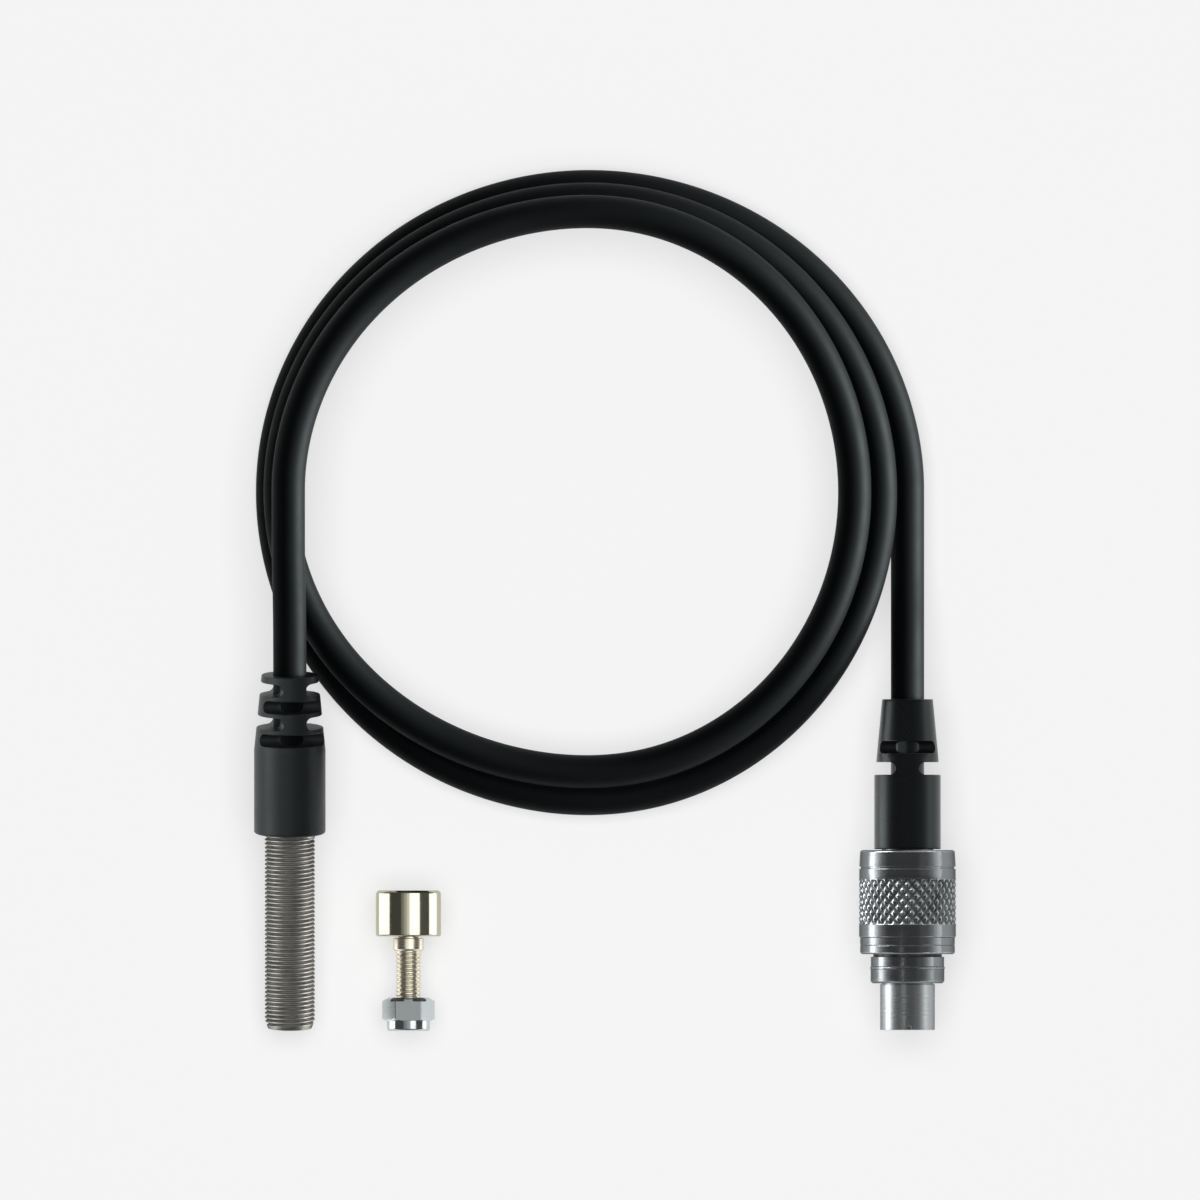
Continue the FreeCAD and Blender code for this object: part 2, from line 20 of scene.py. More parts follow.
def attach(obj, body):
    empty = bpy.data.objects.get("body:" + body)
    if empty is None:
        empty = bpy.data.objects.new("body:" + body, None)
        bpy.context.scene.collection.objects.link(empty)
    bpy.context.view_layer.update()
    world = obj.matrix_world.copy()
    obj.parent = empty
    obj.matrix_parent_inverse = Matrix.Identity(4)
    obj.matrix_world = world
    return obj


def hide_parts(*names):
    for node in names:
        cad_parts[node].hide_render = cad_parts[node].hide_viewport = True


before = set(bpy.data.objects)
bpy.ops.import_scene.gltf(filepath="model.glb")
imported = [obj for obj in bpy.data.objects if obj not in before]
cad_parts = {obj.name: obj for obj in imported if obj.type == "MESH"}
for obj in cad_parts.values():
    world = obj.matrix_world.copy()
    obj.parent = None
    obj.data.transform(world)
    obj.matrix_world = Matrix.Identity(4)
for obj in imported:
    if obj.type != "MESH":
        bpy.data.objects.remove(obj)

Array = NDArray[np.float64]
Colour = tuple[float, float, float]
Corner = tuple[float, float, float]
Point = tuple[float, float, float]
Sockets = Mapping[str, bpy.types.NodeSocket]
Value = object

MM = 0.001
FULL_TURN = 2 * math.pi
SKIN_MAP = "surface"
EDGE = "edge"
# Mesh attribute: how far a point is in a recess, and on the plug's ring and the nut, how strong the shade
# painted on it is.
HOLLOW_AND_SHADE = "hollow"
COOL = (0.84, 0.97, 1.0)
BORE_SEAM = 30.0

PICKUP_BOOT = ("pickup_boot", "cable_tail_sensor")
PLUG_BOOT = ("plug_moulding", "cable_tail_plug")
PLUG_METAL = ("plug_tube", "knurled_ring")
BARREL = ("pickup_barrel", "pickup_face")
POT = ("magnet_pot", "magnet_slug")
STUD = ("threaded_stud",)
NUT = ("stud_nut", "nylon_ring")

log = logging.getLogger("pickup")


class Body(Enum):
    """The CAD bodies that pieces ride on."""

    ROOT = "root"
    RING = "coupling_ring"
    TARGET = "magnet_target"
    NUT_CARRIER = "nut_carrier"
    NUT = "lock_nut"


class SlotStart(Enum):
    """Which way a boot's first pair of relief slots is cut."""

    SIDES = 0
    FRONT_AND_BACK = 1


@dataclass(frozen=True)
class Seat:
    """Where a sub-assembly's own axes lie in the frame.

    Attributes:
        origin: Its own zero point, in millimetres.
        axis: Where its own Z points.
    """

    origin: Point
    axis: Point

    def lay(self, points: Array) -> Array:
        """Moves points from the sub-assembly's own axes into the frame.

        A point becomes origin + x across + y up + z axis. Across is the frame's X, and up is the
        cross product of the axis with it.

        Args:
            points: Points in millimetres, last index x, y, z.

        Returns:
            The same points in metres in the frame.
        """
        across = np.array((1.0, 0.0, 0.0))
        axis = np.array(self.axis)
        up = np.cross(axis, across)
        return (np.array(self.origin) + points @ np.stack((across, up, axis))) * MM


def smooth(share: Array) -> Array:
    """Eases a share from 0 to 1: 3 s^2 - 2 s^3 after clipping."""
    inside = np.clip(share, 0.0, 1.0)
    return inside * inside * (3 - 2 * inside)


def rounded(corners: list[Corner], ring: bool = False, steps: int = 5) -> Array:
    """Turns an outline's corners into small curves.

    Each corner c gives way to the curve (1 - t)^2 a + 2 t (1 - t) c + t^2 b between points a and b
    on its two sides, with t from 0 to 1. One more point on each side keeps the flats flat. A corner
    that turns left is an edge and one that turns right is a hollow, each by the sine of pi t.

    Args:
        corners: Radius, height and rounding of each corner, in millimetres.
        ring: Whether the outline closes on itself. Otherwise its two ends stay plain points.
        steps: Points on each curve.

    Returns:
        Rows of radius, height, edge share and hollow share.
    """
    given = np.array(corners, float)
    place, cut = given[:, :2], given[:, 2:]
    before = np.roll(place, 1, axis=0) - place
    after = np.roll(place, -1, axis=0) - place
    side_in = np.linalg.norm(before, axis=1, keepdims=True)
    side_out = np.linalg.norm(after, axis=1, keepdims=True)
    reach = np.minimum(cut, 0.4 * np.minimum(side_in, side_out))
    turn = -before[:, 0] * after[:, 1] + before[:, 1] * after[:, 0]
    into, out = before / side_in, after / side_out
    t = np.linspace(0.0, 1.0, steps)[None, :, None]
    start, end = (place + into * reach)[:, None], (place + out * reach)[:, None]
    curve = (1 - t) ** 2 * start + 2 * t * (1 - t) * place[:, None] + t ** 2 * end
    far_in = place + into * np.minimum(1.5 * reach + 0.01, 0.48 * side_in)
    far_out = place + out * np.minimum(1.5 * reach + 0.01, 0.48 * side_out)
    spots = np.concatenate((far_in[:, None], curve, far_out[:, None]), axis=1)
    bend = np.concatenate(((0.0,), np.sin(np.pi * np.linspace(0.0, 1.0, steps)), (0.0,)))
    shares = np.stack((np.outer(turn > 0, bend), np.outer(turn < 0, bend)), axis=-1)
    rows = np.concatenate((spots, shares), axis=-1)
    if ring:
        return rows.reshape(-1, 4)
    ends = np.concatenate((place[[0, -1]], np.zeros((2, 2))), axis=1)
    return np.concatenate((ends[:1], rows[1:-1].reshape(-1, 4), ends[1:]))


def stretch(radius: Array, height: Array) -> Array:
    """Plain rows along a wall, from its radii and heights."""
    return np.stack((radius, height, 0 * height, 0 * height), axis=-1)


@dataclass
class Skin:
    """A closed surface on a grid. Rows follow an outline, and columns go round the axis.

    Attributes:
        radius: Distance from the axis, in millimetres.
        height: Place along the axis, in millimetres.
        angle: Angle from across towards up, in radians.
        edge: How far each point is on a rounded edge.
        hollow: How far each point is down in a recess; on the plug's ring and the nut it also marks painted
            shade.
        ring: Whether the last row joins the first. Otherwise both ends lie on the axis.
    """

    radius: Array
    height: Array
    angle: Array
    edge: Array
    hollow: Array
    ring: bool

    @classmethod
    def turned(cls, rows: Array, angle: Array, ring: bool) -> "Skin":
        """Carries an outline round the axis: each row keeps its radius and height at every angle.

        Args:
            rows: Radius, height, edge share and hollow share of each row.
            angle: The columns' angles, in radians.
            ring: Whether the outline closes on itself.

        Returns:
            The surface.
        """
        round_about = np.ones(len(angle))
        radius, height, edge, hollow = (np.outer(rows[:, index], round_about) for index in range(4))
        return cls(radius, height, np.outer(np.ones(len(rows)), angle), edge, hollow, ring)

    def piece(self, name: str, seat: Seat, crease: float = 180.0) -> bpy.types.Object:
        """Makes the surface a mesh object in the frame.

        A point lies at radius * cos(angle), radius * sin(angle), height. Each cell of the grid is a
        face, and the ends on the axis are fans. The map's U is the share of a turn and its V the
        length along the outline in centimetres.

        Args:
            name: The object's name.
            seat: Where the sub-assembly lies.
            crease: Angle in degrees above which an edge is drawn sharp.

        Returns:
            The object, at the origin with its place in its mesh.
        """
        spots = np.stack((self.radius * np.cos(self.angle), self.radius * np.sin(self.angle),
                          self.height), axis=-1)
        kept = slice(None) if self.ring else slice(1, -1)
        grid = spots[kept]
        rows, columns = grid.shape[:2]
        index = np.arange(rows * columns).reshape(rows, columns)
        low = index if self.ring else index[:-1]
        high = np.roll(index, -1, axis=0) if self.ring else index[1:]
        quads = np.stack((low, np.roll(low, -1, axis=1), np.roll(high, -1, axis=1), high), axis=-1)
        outline = np.stack((self.radius, self.height), axis=-1)[kept].mean(axis=1)
        steps = np.linalg.norm(np.diff(outline, axis=0, append=outline[:1]), axis=1)
        along = np.concatenate(((0.0,), np.cumsum(steps))) / 10
        turns = np.arange(columns + 1) / columns
        here = np.meshgrid(turns[:-1], along[:len(low)])
        beyond = np.meshgrid(turns[1:], along[1:len(low) + 1])
        maps = np.stack((here[0], here[1], beyond[0], here[1], beyond[0], beyond[1], here[0], beyond[1]),
                        axis=-1).reshape(-1, 2)
        points = grid.reshape(-1, 3)
        faces = quads.reshape(-1, 4).tolist()
        edge, hollow = self.edge[kept].ravel(), self.hollow[kept].ravel()
        if not self.ring:
            poles = spots[[0, -1]].mean(axis=1)
            first, last = index[0], index[-1]
            near = np.stack((np.full(columns, len(points)), np.roll(first, -1), first), axis=-1)
            far = np.stack((last, np.roll(last, -1), np.full(columns, len(points) + 1)), axis=-1)
            faces += near.tolist() + far.tolist()
            points = np.concatenate((points, poles))
            edge, hollow = np.append(edge, (0, 0)), np.append(hollow, (0, 0))
            fan = np.repeat(np.stack((turns[:-1], 0 * turns[:-1]), axis=-1), 3, axis=0)
            maps = np.concatenate((maps, fan, fan + (0, along[-2])))
        mesh = bpy.data.meshes.new(name)
        mesh.from_pydata(seat.lay(points), [], faces, shade_flat=False)
        mesh.uv_layers.new(name=SKIN_MAP).data.foreach_set("uv", maps.ravel())
        for label, values in ((EDGE, edge), (HOLLOW_AND_SHADE, hollow)):
            mesh.attributes.new(label, "FLOAT", "POINT").data.foreach_set("value", values)
        if crease < 180:
            mesh.set_sharp_from_angle(angle=math.radians(crease))
        made = bpy.data.objects.new(name, mesh)
        bpy.context.scene.collection.objects.link(made)
        log.info("%s: %d faces", name, len(faces))
        return made


def even_angles(columns: int) -> Array:
    """Angles that share a full turn equally."""
    return np.linspace(0.0, FULL_TURN, columns, endpoint=False)


@dataclass(frozen=True)
class Thread:
    """A right-hand thread cut into a round wall.

    Attributes:
        pitch: Distance between turns.
        depth: Depth of the groove.
        start: Height at which the groove begins.
        end: Height at which it runs out.
        lead_in: Angle at which it begins, in degrees.
        mouth: Width of the groove at the crests, as a share of the pitch.
        root: Width of its bottom, as a share of the pitch.
    """

    pitch: float
    depth: float
    start: float
    end: float
    lead_in: float = 0.0
    mouth: float = 0.86
    root: float = 0.1

    def cut(self, skin: Skin) -> None:
        """Sinks the groove into a surface.

        The groove's middle rises by one pitch a turn. Away is the distance from it over half the
        pitch, the cut is the eased share (mouth - away) / (mouth - root), and it fades in and out
        over a tenth of a turn along the groove.

        Args:
            skin: The surface, whose radius and hollow share are changed.
        """
        turn = (skin.height - self.start) / self.pitch
        turn = turn - (skin.angle - math.radians(self.lead_in)) / FULL_TURN + 0.5
        place = turn - np.floor(turn)
        away = np.abs(2 * place - 1)
        middle = skin.height - (place - 0.5) * self.pitch
        fade = 0.1 * self.pitch
        inside = smooth((middle - self.start) / fade) * smooth((self.end - middle) / fade)
        outer = skin.radius > skin.radius.max() - 4 * self.depth
        outer &= skin.height > self.start - self.pitch
        share = smooth((self.mouth - away) / (self.mouth - self.root)) * inside * outer
        crest = smooth((away - self.mouth) / (1 - self.mouth)) * inside * outer
        skin.radius -= self.depth * share
        skin.hollow = np.maximum(skin.hollow, share)
        skin.edge = np.maximum(skin.edge, 0.8 * crest)


@dataclass(frozen=True)
class MouldedBoot:
    """A moulded boot with pairs of relief slots cut in turn from its sides and its front and back.

    Attributes:
        wall: Outline of its outside, as radius and height.
        first_slot: Where the first slot starts.
        pitch: Distance between slots.
        count: Number of slots.
        start: Which way the first pair is cut.
        bore: Radius of the hole for the cable.
        roll: How far the boot is turned about its axis, in degrees.
        slot_width: Width of a slot.
        web_width: Width of what a pair of slots leaves between them.
        lip: Rounding along the slots' mouths.
        mouth_edge: Rounding at the cable's end.
        far_edge: Rounding at the far end.
        buried: Least radius of a slot's floor, just inside the cable.
        far_bore: Radius of the hole past the slots.
        crease: Angle in degrees above which an edge is drawn sharp.
        slot_rows: Rows across a slot.
    """

    wall: tuple[tuple[float, float], ...]
    first_slot: float
    pitch: float
    count: int
    start: SlotStart
    bore: float
    roll: float = 0.0
    slot_width: float = 1.5
    web_width: float = 2.76
    lip: float = 0.07
    mouth_edge: float = 0.15
    far_edge: float = 0.2
    buried: float = 1.93
    far_bore: float = 2.8
    crease: float = 42.0
    slot_rows: int = 15

    def across_slots(self) -> tuple[Array, Array]:
        """Heights of the rows across the slots, and which slot each lies in.

        Each slot has rows at equal angles over its round bottom, a pair for each side wall, and
        three for each of its lips.

        Returns:
            Heights, and the slot's number or -1 for rows on the outer wall.
        """
        wall_gap = 0.006
        inside = 0.5 * self.slot_width * (1 - np.cos(np.linspace(0.0, np.pi, self.slot_rows)))
        inside = np.clip(inside, wall_gap, self.slot_width - wall_gap)
        outside = np.array((-0.16, -self.lip, -0.6 * self.lip, -0.25 * self.lip, 0.0))
        one = np.concatenate((outside, inside, self.slot_width - outside[::-1]))
        owner = np.concatenate((np.full(5, -1), np.zeros(self.slot_rows, int), np.full(5, -1)))
        slots = np.arange(self.count)
        heights = (self.first_slot + self.pitch * slots)[:, None] + one
        owners = np.where(owner < 0, -1, slots[:, None])
        return heights.ravel(), owners.ravel()

    def rows(self) -> tuple[Array, Array]:
        """Heights of all rows from the cable's end on, and which slot each lies in.

        Both ends have rows at equal angles over their rounding, and the outline's steps have three.

        Returns:
            Heights, and the slot's number or -1 for rows on the outer wall.
        """
        slot_heights, owners = self.across_slots()
        length = self.wall[-1][1]
        corners = np.array(self.wall)[1:-1, 1]
        before = np.linspace(0.5, slot_heights[0] - 0.1, 8)[:-1] * (slot_heights[0] > 1.0)
        beyond = np.linspace(slot_heights[-1] + 0.1, length - 0.6, 24)
        plain = np.concatenate((before, beyond))
        steps = corners[corners > slot_heights[-1]][:, None] + (-0.02, 0.0, 0.02)
        plain = np.concatenate((plain[plain > 0.4], steps.ravel()))
        start = self.mouth_edge * (1 - np.cos(np.linspace(0.0, np.pi / 2, 6)))
        end = length - self.far_edge * (1 - np.cos(np.linspace(0.0, np.pi / 2, 7)))
        heights = np.concatenate((start, plain, slot_heights, end))
        owner = np.concatenate((np.full(len(start) + len(plain), -1), owners, np.full(len(end), -1)))
        order = np.argsort(heights, kind="stable")
        return heights[order], owner[order]

    def rounding(self, height: Array) -> Array:
        """How far the rounded ends draw each row in: their radius less the height of its circle."""
        near, far = self.mouth_edge, self.far_edge
        dip = np.where(height < near, near - np.sqrt(np.maximum(0, near ** 2 - (near - height) ** 2)), 0.0)
        back = height - (self.wall[-1][1] - far)
        return dip + np.where(back > 0, far - np.sqrt(np.maximum(0, far ** 2 - back ** 2)), 0.0)

    def columns(self, corner: Array) -> Array:
        """Angles of each row's columns.

        Each quarter has a column on the corner between floor and wall, and ten at set shares of
        the sector on each side of it.

        Args:
            corner: The corner's angle in the first quarter, for each row.

        Returns:
            Angles by row and column, in radians.
        """
        share = np.array((0.0, 0.12, 0.24, 0.36, 0.48, 0.6, 0.72, 0.84, 0.92, 0.97))
        first = corner[:, None] * share
        second = np.pi / 2 - (np.pi / 2 - corner[:, None]) * share[::-1]
        quarter = np.concatenate((first, corner[:, None], second), axis=1)
        onward, returning = quarter[:, :-1], quarter[:, :0:-1]
        return np.concatenate((onward, np.pi - returning, np.pi + onward, 2 * np.pi - returning), axis=1)

    def skin(self) -> Skin:
        """Works out the boot's surface.

        The outside is the lesser of the wall's radius and, in a slot, the floor's distance over the
        cosine of the angle from the slot's direction. The floor's distance is half the web plus
        the slot's radius less the height of a circle of that radius. The corner between floor and
        wall is at the angle whose cosine is floor over wall.

        Returns:
            The surface.
        """
        radius = self.slot_width / 2
        floor = self.web_width / 2 + radius
        height, owner = self.rows()
        wall = np.array(self.wall)
        dip = self.rounding(height)
        outer = np.interp(height, wall[:, 1], wall[:, 0]) - dip
        middles = self.first_slot + self.pitch * np.arange(self.count) + radius
        nearest = np.argmin(np.abs(height[:, None] - middles), axis=1)
        from_middle = height - middles[nearest]
        inside = owner >= 0
        rise = np.sqrt(np.maximum(0.0, radius ** 2 - np.clip(from_middle, -radius, radius) ** 2))
        limit = floor - rise
        sideways = (nearest + self.start.value) % 2 == 0
        corner = np.arccos(np.clip(limit / outer, 0.0, 0.98))
        angle = self.columns(np.where(sideways, corner, np.pi / 2 - corner))

        all_round = np.ones(angle.shape[1])
        reach = np.where(sideways[:, None], np.abs(np.cos(angle)), np.abs(np.sin(angle)))
        reach_over = np.maximum(reach, 1e-6)
        floor_radius = limit[:, None] / reach_over
        ring_radius = np.outer(outer, all_round)
        cut = inside[:, None] & (floor_radius < ring_radius)
        lip_depth = np.maximum(0.0, self.lip - np.abs(np.abs(from_middle) - radius))
        over_slot = smooth((ring_radius * reach - floor) / 0.25)
        near_slot = (np.abs(from_middle) < radius + self.lip) & ~inside
        lip_cut = 0.8 * np.where(near_slot, lip_depth, 0.0)[:, None] * over_slot
        outside = np.where(cut, np.maximum(floor_radius, self.buried), ring_radius - lip_cut)
        wall_end = inside[:, None] & (np.abs(from_middle)[:, None] > radius - 0.01)
        end_radius = np.minimum(outside, np.maximum(floor / reach_over, self.buried))
        outside = np.where(wall_end, end_radius, outside)
        edge = np.where(near_slot[:, None], over_slot * (lip_depth / self.lip)[:, None], 0.0)
        edge = np.maximum(edge, np.outer(dip / max(self.mouth_edge, self.far_edge), all_round))
        hollow = np.where(cut, smooth((ring_radius - outside) / 0.8), 0.0)

        slots_end = self.across_slots()[0][-1]
        hole = np.where(height[:, None] < slots_end + 1.0, self.bore, self.far_bore)
        inner = np.minimum(hole, outside - 0.06)
        back = slice(None, None, -1)
        return Skin(np.concatenate((outside, inner[back])),
                    np.outer(np.concatenate((height, height[back])), all_round),
                    np.concatenate((angle, angle[back])) + math.radians(self.roll),
                    np.concatenate((edge, 0 * inner)),
                    np.concatenate((hollow, 0 * inner + 1)), True)


class Graph:
    """A node tree, with short calls for adding nodes and joining them."""

    def __init__(self, tree: bpy.types.NodeTree) -> None:
        """Keeps the tree that the nodes go into."""
        self.tree = tree

    def add(self, kind: str, inputs: dict[str | int, Value] | None = None,
            **settings: Value) -> bpy.types.Node:
        """Adds a node.

        Args:
            kind: The node's type without its ShaderNode prefix.
            inputs: What each input gets, by name or number: a value or another node's output.
            settings: The node's own properties.

        Returns:
            The node.
        """
        node = self.tree.nodes.new(kind if kind.startswith("Node") else "ShaderNode" + kind)
        for label, value in settings.items():
            setattr(node, label, value)
        for label, value in (inputs or {}).items():
            self.feed(node.inputs[label], value)
        return node

    def feed(self, socket: bpy.types.NodeSocket, value: Value) -> None:
        """Joins an output to an input, or sets the input's own value.

        Args:
            socket: The input.
            value: Another node's output, a number, or a colour.
        """
        if isinstance(value, bpy.types.NodeSocket):
            self.tree.links.new(value, socket)
        elif isinstance(value, tuple) and socket.type == "RGBA":
            socket.default_value = (*value, 1.0)
        else:
            socket.default_value = value

    def use(self, tree: bpy.types.NodeTree, inputs: dict[str, Value]) -> Sockets:
        """Places a shared group with its own values, and gives its outputs."""
        return self.add("Group", inputs, node_tree=tree).outputs

    def sum(self, kind: str, first: Value, second: Value, clamp: bool = False) -> bpy.types.NodeSocket:
        """Works out one sum of two numbers, such as MULTIPLY or ADD."""
        return self.add("Math", {0: first, 1: second}, operation=kind, use_clamp=clamp).outputs[0]

    def mix(self, share: Value, first: Value, second: Value) -> bpy.types.NodeSocket:
        """Mixes two colours by a share."""
        return self.add("Mix", {0: share, 6: first, 7: second}, data_type="RGBA").outputs[2]

    def remap(self, value: Value, low: float, high: float, to_low: float,
              to_high: float) -> bpy.types.NodeSocket:
        """Carries a value from one range to another, with eased ends."""
        return self.add("MapRange", {0: value, 1: low, 2: high, 3: to_low, 4: to_high},
                        interpolation_type="SMOOTHSTEP").outputs[0]

    def noise(self, place: Value, scale: Value, detail: float, roughness: float = 0.5,
              axes: str = "3D") -> bpy.types.NodeSocket:
        """Adds noise over a place, or over one number where it has one axis."""
        spot = "W" if axes == "1D" else "Vector"
        inputs = {spot: place, "Scale": scale, "Detail": detail, "Roughness": roughness}
        return self.add("TexNoise", inputs, noise_dimensions=axes).outputs["Fac"]


class Effect:
    """The shader groups that several finishes share, each built once."""

    specks_per_metre: float = 3800.0
    patches_per_metre: float = 700.0
    streaks_per_centimetre: float = 40.0

    @staticmethod
    def group(name: str, inputs: str, outputs: str) -> tuple[Graph, Sockets, Sockets]:
        """Starts a group with named sockets.

        Args:
            name: The group's name.
            inputs: Names of its inputs. Place is a vector, and the others are numbers.
            outputs: Names of its outputs, which are numbers.

        Returns:
            The group's graph, what it is given, and what it gives out.
        """
        tree = bpy.data.node_groups.new(name, "ShaderNodeTree")
        for label in inputs.split():
            kind = "NodeSocketVector" if label == "Place" else "NodeSocketFloat"
            tree.interface.new_socket(label, in_out="INPUT", socket_type=kind)
        for label in outputs.split():
            tree.interface.new_socket(label, in_out="OUTPUT", socket_type="NodeSocketFloat")
        graph = Graph(tree)
        return graph, graph.add("NodeGroupInput").outputs, graph.add("NodeGroupOutput").inputs

    @staticmethod
    @cache
    def edge_wear() -> bpy.types.NodeTree:
        """Where plating or gloss has rubbed off: rounded edges, broken up by noise.

        Returns:
            The group.
        """
        graph, given, result = Effect.group("edge_wear", "Place Edge Amount Scale", "Mask")
        uneven = graph.remap(graph.noise(given["Place"], given["Scale"], 5.0, 0.6), 0.35, 0.65, 0.25, 1.0)
        worn = graph.sum("MULTIPLY", given["Edge"], uneven)
        graph.feed(result["Mask"], graph.sum("MULTIPLY", worn, given["Amount"], True))
        return graph.tree

    @staticmethod
    @cache
    def grain() -> bpy.types.NodeTree:
        """Fine unevenness of a surface: a height for its bump and a shade for its colour.

        Returns:
            The group.
        """
        graph, given, result = Effect.group("grain", "Place Scale Contrast", "Height Shade")
        fine = graph.noise(given["Place"], given["Scale"], 6.0, 0.62)
        wide = graph.noise(given["Place"], graph.sum("MULTIPLY", given["Scale"], 0.04), 3.0)
        both = graph.sum("ADD", graph.sum("MULTIPLY", fine, 0.5), graph.sum("MULTIPLY", wide, 0.5))
        spread = graph.sum("MULTIPLY", graph.sum("SUBTRACT", both, 0.5), given["Contrast"])
        graph.feed(result["Height"], fine)
        graph.feed(result["Shade"], graph.sum("ADD", spread, 1.0))
        return graph.tree

    @staticmethod
    @cache
    def turned_lines() -> bpy.types.NodeTree:
        """Tool marks left by turning: noise that changes only along the outline.

        Returns:
            The group.
        """
        graph, given, result = Effect.group("turned_lines", "Along Lines", "Height Streak")
        marks = graph.sum("MULTIPLY", given["Along"], given["Lines"])
        streaks = graph.sum("MULTIPLY", given["Along"], Effect.streaks_per_centimetre)
        graph.feed(result["Height"], graph.noise(marks, 1.0, 4.0, 0.7, "1D"))
        graph.feed(result["Streak"], graph.noise(streaks, 1.0, 2.0, axes="1D"))
        return graph.tree

    @staticmethod
    @cache
    def dust() -> bpy.types.NodeTree:
        """Settled specks all over, and a film in the marked hollows and spots: grime, and painted shade on
        the plug's ring and the nut.

        Returns:
            The group.
        """
        graph, given, result = Effect.group("dust", "Place Hollow Amount", "Mask")
        specks = graph.noise(given["Place"], Effect.specks_per_metre, 3.0, 0.8)
        patches = graph.noise(given["Place"], Effect.patches_per_metre, 2.0)
        film = graph.sum("MULTIPLY", given["Hollow"], graph.remap(patches, 0.3, 0.7, 0.5, 1.0))
        both = graph.sum("ADD", graph.remap(specks, 0.66, 0.74, 0.0, 0.5), film, True)
        graph.feed(result["Mask"], graph.sum("MULTIPLY", both, given["Amount"], True))
        return graph.tree


@dataclass(frozen=True)
class Finish:
    """What every finish has.

    Attributes:
        name: Its name, which is its slot's unless it is a piece's own.
        colour: Its colour.
        roughness: How rough it is.
        rubbed: Colour of its rubbed edges.
        dirt_and_shade: Colour of the grime and specks on it, and of the shade painted where that colour is
            near black.
        dirt_and_shade_share: How much of that shows.
        hollow_and_shade_share: How thick it lies in the marked hollows and spots.
        wear: How much of the edges is rubbed.
        wear_scale: How fine the rubbed patches are, per metre.
        grain_depth: Depth of its fine texture, in metres.
        grain_scale: How fine the texture is, per metre.
        contrast: How far the colour varies.
    """

    name: str
    colour: Colour
    roughness: float
    rubbed: Colour = (0.1, 0.1, 0.1)
    dirt_and_shade: Colour = (0.3, 0.29, 0.27)
    dirt_and_shade_share: float = 0.1
    hollow_and_shade_share: float = 0.3
    wear: float = 0.4
    wear_scale: float = 2200.0
    grain_depth: float = 8e-6
    grain_scale: float = 7000.0
    contrast: float = 0.5

    def start(self) -> tuple[bpy.types.Material, Graph, Sockets, Sockets, Sockets]:
        """Makes a material whose colour shows its grain, its rubbed edges, and its grime and painted shade.

        Returns:
            The material, its graph, its shader's inputs, and what its grain and its grime and painted shade
            give out.
        """
        material = bpy.data.materials.new(self.name + "_finish")
        material.use_nodes = True
        material.node_tree.nodes.clear()
        graph = Graph(material.node_tree)
        shader = graph.add("BsdfPrincipled", {"Roughness": self.roughness})
        graph.add("OutputMaterial", {"Surface": shader.outputs[0]})
        place = graph.add("TexCoord").outputs["Object"]
        edge, hollow = (graph.add("Attribute", attribute_name=label).outputs["Fac"]
                        for label in (EDGE, HOLLOW_AND_SHADE))
        wear = graph.use(Effect.edge_wear(), {"Place": place, "Edge": edge, "Amount": self.wear,
                                              "Scale": self.wear_scale})
        grain = graph.use(Effect.grain(), {"Place": place, "Scale": self.grain_scale,
                                           "Contrast": self.contrast})
        filled = graph.sum("MULTIPLY", hollow, self.hollow_and_shade_share)
        dirt_and_shade = graph.use(Effect.dust(), {"Place": place, "Hollow": filled, "Amount": self.dirt_and_shade_share})
        shaded = graph.add("VectorMath", {0: self.colour, "Scale": grain["Shade"]}, operation="SCALE")
        colour = graph.mix(wear["Mask"], shaded.outputs[0], self.rubbed)
        graph.feed(shader.inputs["Base Color"], graph.mix(dirt_and_shade["Mask"], colour, self.dirt_and_shade))
        return material, graph, shader.inputs, grain, dirt_and_shade


@dataclass(frozen=True)
class Metal(Finish):
    """Turned or formed metal with its plating.

    Attributes:
        line_depth: Depth of the turned lines, in metres.
        lines: Turned lines in a centimetre.
        streak: How far the lines change the roughness.
        edge_tint: How bright it mirrors at a flat angle.
    """

    rubbed: Colour = (0.9, 0.88, 0.84)
    dirt_and_shade: Colour = (0.05, 0.045, 0.04)
    dirt_and_shade_share: float = 0.5
    hollow_and_shade_share: float = 1.0
    wear: float = 0.5
    wear_scale: float = 2500.0
    grain_depth: float = 1e-6
    grain_scale: float = 14000.0
    contrast: float = 0.3
    line_depth: float = 2e-6
    lines: float = 400.0
    streak: float = 0.1
    edge_tint: float = 0.7

    def material(self) -> bpy.types.Material:
        """Builds the material.

        Returns:
            The material.
        """
        material, graph, shader, grain, dirt_and_shade = self.start()
        skin = graph.add("SeparateXYZ", {0: graph.add("UVMap", uv_map=SKIN_MAP).outputs["UV"]})
        turned = graph.use(Effect.turned_lines(), {"Along": skin.outputs["Y"], "Lines": self.lines})
        graph.feed(shader["Metallic"], graph.remap(dirt_and_shade["Mask"], 0.0, 1.0, 1.0, 0.55))
        varied = graph.remap(turned["Streak"], 0.3, 0.7, self.roughness - self.streak / 2,
                             self.roughness + self.streak / 2)
        dull = graph.sum("MULTIPLY", dirt_and_shade["Mask"], 0.3)
        graph.feed(shader["Roughness"], graph.sum("ADD", varied, dull, True))
        lines = graph.add("Bump", {"Height": turned["Height"], "Distance": self.line_depth})
        bump = graph.add("Bump", {"Height": grain["Height"], "Distance": self.grain_depth,
                                  "Normal": lines.outputs[0]})
        graph.feed(shader["Normal"], bump.outputs[0])
        graph.feed(shader["Specular Tint"], (self.edge_tint, self.edge_tint, self.edge_tint))
        return material


